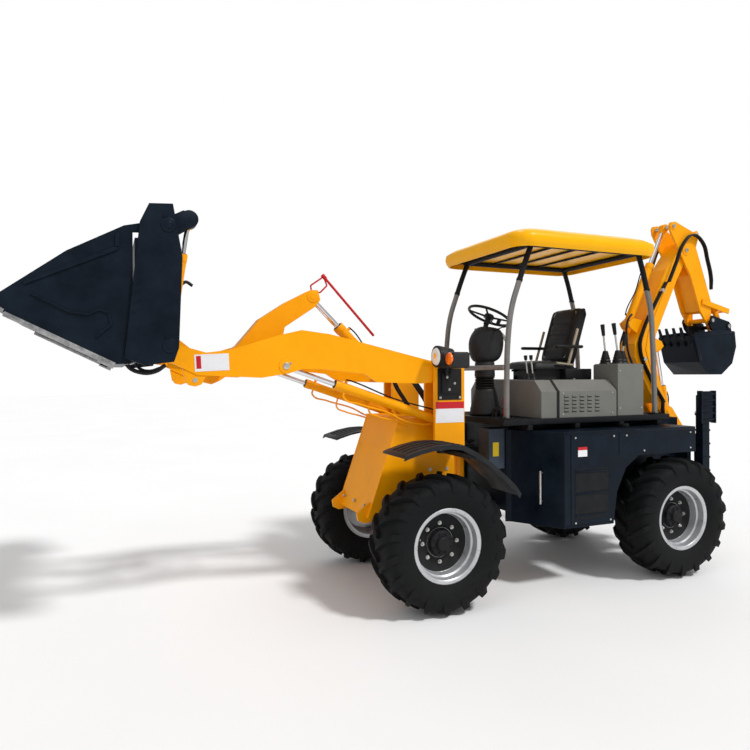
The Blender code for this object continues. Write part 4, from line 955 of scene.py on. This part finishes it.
    def engine_cover(self):
        """Draws the seams and louvres of the engine cover, with black strips of painted shade in the louvre
        slots and in the seam behind the front box.
        """
        bm = bmesh.new()
        for side in (-1, 1):
            for row in range(5):
                for col in range(5):
                    x = 1.34 + 0.085 * col
                    z = 1.485 + 0.032 * row
                    plate(bm, [(x, z), (x + 0.052, z), (x + 0.049, z + 0.014), (x + 0.003, z + 0.014)],
                          side * 0.579, side * 0.588, 0.003)
        piece("cover_louvres", bm, "grey_paint", "rear_frame")
        # painted shade: a thin black strip under each louvre, standing in for the shade inside its slot
        bm = bmesh.new()
        for side in (-1, 1):
            for row in range(5):
                for col in range(5):
                    x = 1.34 + 0.085 * col
                    z = 1.485 + 0.032 * row
                    plate(bm, [(x + 0.002, z - 0.008), (x + 0.050, z - 0.008), (x + 0.050, z),
                               (x + 0.002, z)],
                          side * 0.579, side * 0.5812)
        # painted shade: a black band in the gap between the cover's front box and the rest of the cover
        section = [(-0.583, 1.431), (-0.583, 1.661), (-0.481, 1.763), (0.481, 1.763), (0.583, 1.661),
                   (0.583, 1.431)]
        inner = [(-0.578, 1.431), (-0.578, 1.659), (-0.479, 1.758), (0.479, 1.758), (0.578, 1.659),
                 (0.578, 1.431)]
        rings = [[(x, y, z) for y, z in section + inner[::-1]] for x in (1.262, 1.290)]
        loft(bm, rings)
        piece("cover_gap_and_louvre_shade", bm, "black_plastic", "rear_frame")
        bm = bmesh.new()
        block(bm, 1.62, 1.925, -0.26, 0.26, 1.7605, 1.862, bevel=0.006)
        for y in (-0.15, 0.13):
            block(bm, 1.32, 1.74, y, y + 0.02, 1.7605, 1.80, bevel=0.003)
            block(bm, 1.30, 1.76, y - 0.005, y + 0.025, 1.838, 1.8585, bevel=0.003)
        piece("seat_rails", bm, "black_plastic", "rear_frame")
        bm = bmesh.new()
        for side in (-1, 1):
            for x in (1.33, 1.88):
                for z in (1.46, 1.645):
                    rod(bm, (x, side * 0.579, z), (x, side * 0.584, z), 0.007, 12, bevel=0.001)
            rod(bm, (1.60, side * 0.40, 1.762), (1.60, side * 0.40, 1.772), 0.012, 6)
        for x in (1.97, 2.225):
            for z in (1.50, 1.84):
                rod(bm, (x, -0.579, z), (x, -0.584, z), 0.007, 12, bevel=0.001)
        piece("cover_screws", bm, "zinc", "rear_frame")
        bm = bmesh.new()
        block(bm, 1.955, 2.24, -0.57, -0.27, 1.899, 1.906, bevel=0.002)
        piece("console_top_mat", bm, "grey_paint", "rear_frame")

    def canopy(self):
        """Draws the canopy posts, their sleeves and the moulded roof."""
        half = 0.53
        posts, tops = [], []
        for _, side in SIDES:
            y = side * half
            posts.append([(0.78, y, 1.412), (0.782, y, 1.75), (0.795, y, 2.10), (0.835, y, 2.38),
                          (0.915, y, 2.62)])
            tops.append([(0.915, y, 2.62), (0.975, y, 2.78), (1.04, y, 2.935)])
            posts.append([(2.44, y, 1.412), (2.43, y, 1.75), (2.415, y, 2.10), (2.39, y, 2.42),
                          (2.345, y, 2.60)])
            tops.append([(2.345, y, 2.60), (2.30, y, 2.76), (2.24, y, 2.935)])
        made = pipes("canopy_posts", posts + [[(0.765, -half, 1.87), (0.765, 0, 1.87),
                                               (0.765, half, 1.87)]], 0.0248,
                     "post_paint", "rear_frame")
        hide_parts("canopy_frame")
        for _, side in SIDES:
            y = side * half
            tops.append([(1.00, y, 2.935), (1.6, y, 2.935), (2.28, y, 2.935)])
        for x in (1.04, 2.24):
            tops.append([(x, -half, 2.935), (x, 0, 2.935), (x, half, 2.935)])
        pipes("canopy_post_tops", tops, 0.0246, "deck_black", "rear_frame")
        bm = bmesh.new()
        for _, side in SIDES:
            for x in (0.78, 2.44):
                block(bm, x - 0.05, x + 0.05, side * half - 0.045, side * half + 0.045, 1.4305, 1.442,
                      bevel=0.003)
                for dx in (-0.033, 0.033):
                    for dy in (-0.030, 0.030):
                        nut(bm, (x + dx, side * half + dy, 1.442), (0, 0, 1), 0.011, 0.007)
            for x, z in ((0.915, 2.62), (2.345, 2.60)):
                rod(bm, (x - 0.004, side * half, z - 0.012), (x + 0.004, side * half, z + 0.012), 0.0275,
                    24, bevel=0.002)
        piece("post_feet", bm, "deck_black", "rear_frame")

        bm = bmesh.new()
        low = 2.9603
        stack = ((low - 0.070, 0.028, 0.15), (low - 0.040, 0.010, 0.16), (low + 0.0, 0.0, 0.17),
                 (low + 0.040, 0.006, 0.17), (low + 0.078, 0.060, 0.16), (low + 0.112, 0.16, 0.14),
                 (low + 0.138, 0.32, 0.12), (low + 0.152, 0.47, 0.09), (low + 0.158, 0.60, 0.05))
        rings = []
        for z, inset, corner in stack:
            x0, x1, y = 0.80 + inset, 2.38 - inset, 0.69 - inset
            ring = []
            for cx, cy, start in ((x1 - corner, y - corner, 0), (x0 + corner, y - corner, 90),
                                  (x0 + corner, -y + corner, 180), (x1 - corner, -y + corner, 270)):
                for step in range(7):
                    turn = math.radians(start + 15 * step)
                    ring.append((cx + corner * math.cos(turn), cy + corner * math.sin(turn), z))
            rings.append(ring)
        under = []
        for z, inset, corner in ((low - 0.068, 0.040, 0.14), (low - 0.004, 0.024, 0.15),
                                 (low - 0.002, 0.20, 0.12),
                                 (low - 0.002, 0.50, 0.06)):
            x0, x1, y = 0.80 + inset, 2.38 - inset, 0.69 - inset
            ring = []
            for cx, cy, start in ((x1 - corner, y - corner, 0), (x0 + corner, y - corner, 90),
                                  (x0 + corner, -y + corner, 180), (x1 - corner, -y + corner, 270)):
                for step in range(7):
                    turn = math.radians(start + 15 * step)
                    ring.append((cx + corner * math.cos(turn), cy + corner * math.sin(turn), z))
            under.append(ring)
        loft(bm, under[::-1] + rings)
        piece("canopy_shell", bm, "canopy_paint", "rear_frame", ("canopy_roof",), 50)
        bm = bmesh.new()
        for x0, x1, y0, y1 in ((0.90, 2.28, -0.585, -0.555), (0.90, 2.28, 0.555, 0.585)):
            block(bm, x0, x1, y0, y1, 2.93, 2.957, bevel=0.004)
        for x in (1.35, 1.62, 1.89):
            block(bm, x - 0.012, x + 0.012, -0.56, 0.56, 2.94, 2.957, bevel=0.003)
        piece("canopy_stiffeners", bm, "deck_black", "rear_frame")

    def deck(self):
        """Draws the tread and the edge of the deck."""
        bm = bmesh.new()
        for side in (-1, 1):
            block(bm, 0.70, 2.55, side * 0.588, side * 0.6015, 1.384, 1.4325, bevel=0.003)
        block(bm, 0.6985, 0.712, -0.59, 0.59, 1.384, 1.4325, bevel=0.003)
        block(bm, 2.538, 2.5515, -0.59, 0.59, 1.384, 1.4325, bevel=0.003)
        piece("deck_edge", bm, "deck_black", "rear_frame")
        pattern = bmesh.new()
        for area in ((0.73, 1.08, 0.16, 0.57), (0.73, 1.08, -0.57, -0.16), (1.96, 2.52, -0.24, 0.57)):
            x0, x1, y0, y1 = area
            nx, ny = int((x1 - x0) / TREAD_PITCH), int((y1 - y0) / TREAD_PITCH)
            for i in range(nx):
                for j in range(ny):
                    turn = Matrix.Rotation(math.radians(45 if (i + j) % 2 else -45), 4, "Z")
                    place = Matrix.Translation((x0 + TREAD_PITCH * (i + 0.5), y0 + TREAD_PITCH * (j + 0.5),
                                                1.4310))
                    bmesh.ops.create_cube(pattern, size=1, matrix=place @ turn @ TREAD_BAR)
        piece("deck_tread", pattern, "deck_black", "rear_frame")
        bm = bmesh.new()
        for side in (-1, 1):
            for x in (0.95, 1.45, 1.95, 2.40):
                block(bm, x, x + 0.05, side * 0.40, side * 0.598, 1.335, 1.382, bevel=0.004)
        piece("deck_brackets", bm, "deck_black", "rear_frame")


# ---- seat --------------------------------------------------------------------------------------------
class LOADER_OT_seat(Builder, bpy.types.Operator):
    """Models the padded cushion and back with sewn channels, piping, armrest and belt"""
    bl_idname = "loader.seat"
    bl_label = "Seat"

    def pad(self, name, half_u, half_v, depth, place, channels, fill, node=None):
        """A crowned pad in its own U, V plane, W its thickness, with channels sewn across V."""
        bm = bmesh.new()
        made = bmesh.ops.create_grid(bm, x_segments=26, y_segments=30, size=1.0)["verts"]
        grown = bmesh.ops.extrude_face_region(bm, geom=bm.faces[:])["geom"]
        tops = {v for v in grown if isinstance(v, bmesh.types.BMVert)}
        for v in bm.verts:
            u, w = v.co.x, v.co.y
            rim = max(abs(u), abs(w))
            corner = max(0.0, abs(u) + abs(w) - 1.55)
            pull = 1 - 0.16 * corner
            round_off = max(0.0, 1 - max(0.0, rim - 0.72) ** 2 / 0.0784)
            crown = math.sqrt(max(0.0, round_off)) * (0.80 + 0.20 * math.cos(u * 1.4) * math.cos(w * 1.4))
            sewn = 0.0
            if abs(u) < 0.62:
                for channel in channels:
                    sewn += 0.30 * math.exp(-((w - channel) / 0.045) ** 2)
            ridge = 0.26 * math.exp(-((abs(u) - 0.68) / 0.05) ** 2) if abs(w) < 0.86 else 0.0
            thick = crown - sewn - ridge
            top = v in tops
            v.co = Vector((u * half_u * pull, w * half_v * pull,
                           depth * thick if top else -0.002 - 0.12 * depth * crown))
        bmesh.ops.transform(bm, matrix=place, verts=bm.verts)
        made = piece(name, bm, "vinyl", "rear_frame", (node,) if node else (), 0)
        return made

    def build(self, sizes, colours):
        flat = Matrix.Translation((1.525, 0, 1.872)) @ Matrix.Rotation(math.pi / 2, 4, "Z")
        self.pad("seat_cushion", 0.238, 0.245, 0.070, flat, (-0.45, 0.0, 0.45), 0.75, "seat")
        lean = math.atan2(0.17, 0.54)
        back = Matrix.Translation((1.805, 0, 2.18)) @ Matrix.Rotation(lean, 4, "Y")
        facing = Matrix(((0, 0, -1, 0), (-1, 0, 0, 0), (0, 1, 0, 0), (0, 0, 0, 1)))
        self.pad("seat_back", 0.228, 0.285, 0.070, back @ facing, (-0.42, 0.0, 0.42), 0.75)
        frame_at = lambda u, v, w: tuple(back @ facing @ Vector((u, v, w)))
        loop = [(0.150, -0.235), (0.165, -0.215), (0.165, 0.0), (0.162, 0.215), (0.145, 0.238), (0.0, 0.242),
                (-0.145, 0.238), (-0.162, 0.215), (-0.165, 0.0), (-0.165, -0.215), (-0.150, -0.235),
                (0.0, -0.240),
                (0.150, -0.235)]
        pipes("seat_back_piping", [[frame_at(u, v, 0.046) for u, v in loop]], 0.0042, "piping", "rear_frame")
        bm = bmesh.new()
        shell = [(-0.225, -0.28), (0.225, -0.28), (0.228, 0.22), (0.19, 0.278), (-0.19, 0.278),
                 (-0.228, 0.22)]
        rings = [[frame_at(u, v, w) for u, v in shell] for w in (-0.022, -0.004)]
        loft(bm, rings)
        base = [(1.275, -0.235), (1.775, -0.235), (1.775, 0.235), (1.275, 0.235)]
        loft(bm, [[(x, y, z) for x, y in base] for z in (1.8605, 1.872)])
        for y in (-0.262, 0.262):
            rod(bm, (1.80, y * 0.93, 2.07), (1.80, y, 2.07), 0.016, 16)
            block(bm, 1.50, 1.81, y - 0.024, y + 0.024, 2.055, 2.085, bevel=0.012)
        piece("seat_shell", bm, "black_plastic", "rear_frame")
        bm = bmesh.new()
        for side in (-1, 1):
            block(bm, 1.70, 1.722, side * 0.245, side * 0.262, 1.90, 2.25, tilt_about_y(0.32), bevel=0.003)
            block(bm, 1.52, 1.72, side * 0.242, side * 0.262, 1.90, 1.915, tilt_about_y(0.10), bevel=0.003)
        piece("seat_belt", bm, "webbing", "rear_frame")


# ---- side tanks and steps ----------------------------------------------------------------------------
class LOADER_OT_side_details(Builder, bpy.types.Operator):
    """Adds steps, handles, seams, caps and blank plates to the tanks and battery box"""
    bl_idname = "loader.side_details"
    bl_label = "Tank Details"

    def build(self, sizes, colours):
        bm, dark, zinc, red, white, amber = (bmesh.new() for _ in range(6))
        for _, side in SIDES:
            face = side * 0.8300
            block(bm, 1.205, 1.225, face, side * 0.8345, 0.56, 1.31, bevel=0.002)
            block(bm, 1.72, 1.735, face, side * 0.8345, 1.115, 1.31, bevel=0.002)
            block(bm, 1.16, 2.61, face, side * 0.8355, 1.305, 1.328, bevel=0.003)
            block(bm, 1.165, 1.655, face, side * 0.8355, 0.532, 0.55, bevel=0.003)
            block(dark, 1.25, 1.60, face, side * 0.8325, 0.60, 1.02, bevel=0.002)
            for x, z in ((1.25, 0.57), (1.62, 0.57), (1.25, 1.28), (1.66, 1.28), (1.80, 1.28), (2.55, 1.28),
                         (2.0, 1.14),
                         (2.55, 1.14)):
                rod(zinc, (x, face, z), (x, side * 0.8385, z), 0.009, 6)
            block(white, 1.28, 1.375, face, side * 0.8320, 1.12, 1.20)
            block(red, 1.28, 1.375, face, side * 0.8328, 1.175, 1.20)
            corner = Vector((1.03, side * 0.645, 0))
            along = Vector((0.26, side * 0.44, 0)).normalized()
            out = Vector((-along.y * side, along.x * side, 0)) * side
            out = out if out.x < 0 else -out
            at = corner + along * 0.02 + out * 0.035
            rod(zinc, (*at[:2], 0.72), (*at[:2], 1.00), 0.010, 16, bevel=0.003)
            for z in (0.74, 0.98):
                rod(zinc, (*(at - out * 0.040)[:2], z), (*at[:2], z), 0.007, 12)
            for z in (0.615, 0.80, 0.985):
                block(bm, 1.255, 1.595, face, side * 0.8380, z, z + 0.022, bevel=0.003)
            rod(dark, (2.00, side * 0.60, 1.325), (2.00, side * 0.60, 1.36), 0.040, 28, bevel=0.004)
        block(amber, 0.74, 0.80, -0.3795, -0.377, 1.10, 1.22)
        piece("tank_steps_and_seams", bm, "navy_paint", "rear_frame")
        piece("tank_panels", dark, "deck_black", "rear_frame")
        piece("tank_bolts", zinc, "zinc", "rear_frame")
        piece("tank_plate_red", red, "signal_red", "rear_frame")
        piece("tank_plate_white", white, "label_white", "rear_frame")
        piece("battery_plate", amber, "label_yellow", "rear_frame")
        pipes("articulation_hoses", [[(0.70, y, 1.22), (0.64, y * 1.05, 1.205), (0.58, y * 1.1, 1.215)]
                                     for y in (-0.13, -0.09, 0.10, 0.14)], sizes.hose_radius, "hose_rubber",
                                     "rear_frame")


# ---- backhoe -----------------------------------------------------------------------------------------
class LOADER_OT_backhoe_details(Builder, bpy.types.Operator):
    """Adds hoses, pins, gussets and teeth to the backhoe and the stabilisers"""
    bl_idname = "loader.backhoe_details"
    bl_label = "Backhoe Details"

    def build(self, sizes, colours):
        hose = sizes.hose_radius
        bm = bmesh.new()
        for y, out in ((-0.1, -1), (0.1, 1)):
            for x, z, radius in ((3.02, 1.42, 0.045), (3.30, 3.11, 0.060), (2.90, 2.10, 0.050)):
                rod(bm, (x, y, z), (x, y + out * 0.004, z), radius, 30, bevel=0.0015)
            strip = [(2.85, 1.80), (2.87, 1.80), (2.79, 2.06), (2.83, 2.24), (3.13, 2.84), (3.11, 2.85),
                     (2.80, 2.25), (2.76, 2.06)]
            plate(bm, strip, y, y + out * 0.006, 0.002)
        piece("boom_gussets", bm, "yellow_paint", "boom")
        bm = bmesh.new()
        for out in (-1, 1):
            for x, z, radius in ((3.30, 3.11, 0.055), (3.62, 2.38, 0.045), (3.44, 3.28, 0.040),
                                 (3.12, 3.35, 0.040)):
                rod(bm, (x, out * 0.129, z), (x, out * 0.135, z), radius, 30, bevel=0.002)
        piece("dipper_bosses", bm, "yellow_paint", "dipper")
        bm = bmesh.new()
        for out in (-1, 1):
            for x, z in ((3.30, 3.11), (3.44, 3.28), (3.12, 3.35)):
                rod(bm, (x, out * 0.134, z), (x, out * 0.144, z), 0.022, 24, bevel=0.003)
        piece("dipper_pins", bm, "zinc", "dipper")
        bm = bmesh.new()
        for out in (-1, 1):
            rod(bm, (3.62, out * 0.174, 2.38), (3.62, out * 0.182, 2.38), 0.040, 26, bevel=0.002)
            rod(bm, (3.864, out * 0.174, 2.322), (3.864, out * 0.182, 2.322), 0.036, 26, bevel=0.002)
            side = [(3.285, 2.205), (3.365, 1.935), (3.405, 1.955), (3.330, 2.215)]
            plate(bm, side, out * 0.2245, out * 0.2345, 0.003)
            plate(bm, [(3.29, 2.23), (3.31, 2.19), (3.88, 2.245), (3.885, 2.265), (3.62, 2.272)],
                  out * 0.2245, out * 0.231, 0.002)
        for k in range(5):
            y = -0.19 + 0.095 * k
            block(bm, 3.285, 3.335, y - 0.026, y + 0.026, 2.10, 2.18, tilt_about_y(0.30), bevel=0.006)
        piece("hoe_bucket_lips", bm, "navy_paint", "hoe_bucket")
        bm = bmesh.new()
        for out in (-1, 1):
            for x, z in ((3.62, 2.38), (3.864, 2.322)):
                rod(bm, (x, out * 0.181, z), (x, out * 0.190, z), 0.020, 22, bevel=0.003)
        piece("hoe_bucket_pins", bm, "zinc", "hoe_bucket")

        routes = []
        for y in (-0.115, -0.140):
            routes.append([(2.98, y, 1.52), (2.78, y, 1.80), (2.66, y, 2.08), (2.70, y, 2.24),
                           (2.86, y, 2.52),
                           (3.02, y, 2.76)])
        for y in (0.115, 0.140):
            routes.append([(2.98, y, 1.52), (2.78, y, 1.80), (2.66, y, 2.08), (2.70, y, 2.24),
                           (2.86, y, 2.52),
                           (3.02, y, 2.76)])
        routes.append([(2.62, -0.06, 2.42), (2.56, -0.07, 2.36), (2.53, -0.08, 2.18), (2.56, -0.09, 1.98),
                       (2.68, -0.10, 1.78)])
        pipes("boom_hoses", routes, hose, "hose_rubber", "boom")
        bm = bmesh.new()
        for out in (-1, 1):
            for x, z in ((2.71, 1.96), (2.80, 2.42), (2.96, 2.67)):
                block(bm, x - 0.018, x + 0.018, out * 0.099, out * 0.155, z - 0.018, z + 0.018,
                      tilt_about_y(0.5), bevel=0.004)
        piece("boom_hose_clamps", bm, "zinc", "boom")
        crossing = []
        for y in (-0.150, -0.174, 0.150, 0.174):
            crossing.append([(3.02, y, 2.76), (3.12, y, 2.96), (3.22, y, 3.16), (3.36, y, 3.27),
                             (3.50, y, 3.20),
                             (3.57, y, 3.02), (3.62, y, 2.84), (3.68, y * 0.7, 2.72)])
        made = pipes("crossing_hoses", crossing, hose, "hose_rubber", "boom")
        del made["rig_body"]
        made.parent = None
        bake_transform(made)

        bm = bmesh.new()
        for y in (-0.122, 0.122):
            for x, z in ((3.02, 1.42), (3.175, 1.212)):
                out = 1 if y > 0 else -1
                rod(bm, (x, y + out * 0.012, z), (x, y + out * 0.022, z), 0.040, 26, bevel=0.002)
                rod(bm, (x, y + out * 0.021, z), (x, y + out * 0.030, z), 0.018, 22, bevel=0.003)
        piece("swing_post_bosses", bm, "yellow_paint", "swing_post")
        pipes("swing_hoses", [[(2.95, y, 1.30), (2.93, y, 1.42), (2.95, y * 0.9, 1.54)]
                              for y in (-0.150, -0.172, 0.150, 0.172)], hose, "hose_rubber", "swing_post")
        bm = bmesh.new()
        for k in range(6):
            y = -0.40 + 0.16 * k
            nut(bm, (2.9405, y, 0.90), (1, 0, 0), 0.016, 0.010)
        for _, side in SIDES:
            nut(bm, (3.117, side * 0.56, 0.72), (1, 0, 0), 0.020, 0.010)
        piece("backhoe_frame_bolts", bm, "zinc", "rear_frame")
        for name, side in SIDES:
            y = side * 0.56
            bm = bmesh.new()
            for k in range(4):
                z = 0.86 + 0.13 * k
                block(bm, 2.972, 3.078, y - side * 0.045, y + side * 0.045, z, z + 0.02, bevel=0.003)
            for x0 in (2.925, 3.105):
                block(bm, x0, x0 + 0.018, y + side * 0.02, y + side * 0.075, 1.33, 1.645, bevel=0.003)
            for k in range(5):
                z = 1.36 + 0.062 * k
                block(bm, 2.94, 3.11, y + side * 0.058, y + side * 0.072, z, z + 0.014, bevel=0.002)
            piece(f"stabiliser_grip_{name}", bm, "navy_paint", f"stabiliser_{name}")
            bm = bmesh.new()
            rod(bm, (3.025, y - side * 0.062, 0.94), (3.025, y - side * 0.062, 1.22), 0.030, 26, bevel=0.003)
            piece(f"stabiliser_ram_{name}", bm, "deck_black", f"stabiliser_{name}")
            bm = bmesh.new()
            rod(bm, (3.025, y - side * 0.062, 1.22), (3.025, y - side * 0.062, 1.42), 0.015, 22)
            rod(bm, (3.025, y - side * 0.070, 1.42), (3.025, y - side * 0.036, 1.42), 0.030, 22, bevel=0.003)
            piece(f"stabiliser_ram_rod_{name}", bm, "chrome", f"stabiliser_{name}")


# ---- stage -------------------------------------------------------------------------------------------
class LOADER_OT_stage(Builder, bpy.types.Operator):
    """Sets the pale floor, the soft studio light and the camera"""
    bl_idname = "loader.stage"
    bl_label = "Studio Stage"

    def build(self, sizes, colours):
        scene = bpy.context.scene
        lens = bpy.data.cameras.new("camera")
        lens.sensor_width = 36
        lens.lens = 31.13
        lens.clip_end = 200
        camera = bpy.data.objects.new("camera", lens)
        camera.location = (-2.832, -5.169, 1.816)
        camera.rotation_euler = (math.pi / 2 - 0.001, 0.004, -0.396)
        scene.collection.objects.link(camera)
        scene.camera = camera

        bm = bmesh.new()
        bmesh.ops.create_grid(bm, x_segments=1, y_segments=1, size=60)
        mesh = bpy.data.meshes.new("floor")
        bm.to_mesh(mesh)
        bm.free()
        floor = bpy.data.objects.new("floor", mesh)
        scene.collection.objects.link(floor)
        mesh.materials.append(finish("floor_white", (0.90, 0.90, 0.90), 0.7, vary=0.01, scale=0.5))

        world = bpy.data.worlds.new("studio")
        scene.world = world
        world.use_nodes = True
        nodes, links = world.node_tree.nodes, world.node_tree.links
        sky = nodes["Background"]
        sky.inputs["Color"].default_value = (1.0, 1.0, 1.0, 1)
        seen = nodes.new("ShaderNodeLightPath")
        level = nodes.new("ShaderNodeMapRange")
        level.inputs["To Min"].default_value = 0.50
        level.inputs["To Max"].default_value = 1.0
        links.new(seen.outputs["Is Camera Ray"], level.inputs["Value"])
        links.new(level.outputs["Result"], sky.inputs["Strength"])
        scene.view_settings.view_transform = "Standard"
        for name, place, strength, spread in (("key", (4.0, -6.5, 9.0), 2.1, 8),
                                              ("fill", (-7.0, -5.0, 6.0), 0.35, 40),
                                              ("rear_fill", (5.0, 7.0, 6.0), 0.35, 40)):
            light = bpy.data.lights.new(name, "SUN")
            light.energy = strength
            light.angle = math.radians(spread)
            lamp = bpy.data.objects.new(name, light)
            lamp.location = place
            lamp.rotation_euler = (-Vector(place)).to_track_quat("-Z", "Y").to_euler()
            scene.collection.objects.link(lamp)


class LOADER_PT_panel(bpy.types.Panel):
    bl_idname = "LOADER_PT_panel"
    bl_label = "Backhoe Loader"
    bl_space_type = "VIEW_3D"
    bl_region_type = "UI"
    bl_category = "Loader"

    def draw(self, context):
        for group in (context.scene.loader_sizes, context.scene.loader_colours):
            box = self.layout.box()
            for name in group.__annotations__:
                box.prop(group, name)
        for step in STEPS:
            self.layout.operator(step.bl_idname)


STEPS = (LOADER_OT_finishes, LOADER_OT_wheels, LOADER_OT_cylinders, LOADER_OT_loader_details,
         LOADER_OT_front_details, LOADER_OT_cab, LOADER_OT_seat, LOADER_OT_side_details,
         LOADER_OT_backhoe_details, LOADER_OT_stage)
CLASSES = (LoaderSizes, LoaderColours, *STEPS, LOADER_PT_panel)


def register():
    for cls in CLASSES:
        bpy.utils.register_class(cls)
    bpy.types.Scene.loader_sizes = bpy.props.PointerProperty(type=LoaderSizes)
    bpy.types.Scene.loader_colours = bpy.props.PointerProperty(type=LoaderColours)


def unregister():
    del bpy.types.Scene.loader_colours
    del bpy.types.Scene.loader_sizes
    for cls in reversed(CLASSES):
        bpy.utils.unregister_class(cls)


def main():
    register()
    for step in STEPS:
        family, action = step.bl_idname.split(".")
        getattr(getattr(bpy.ops, family), action)()


if __name__ == "__main__":
    main()
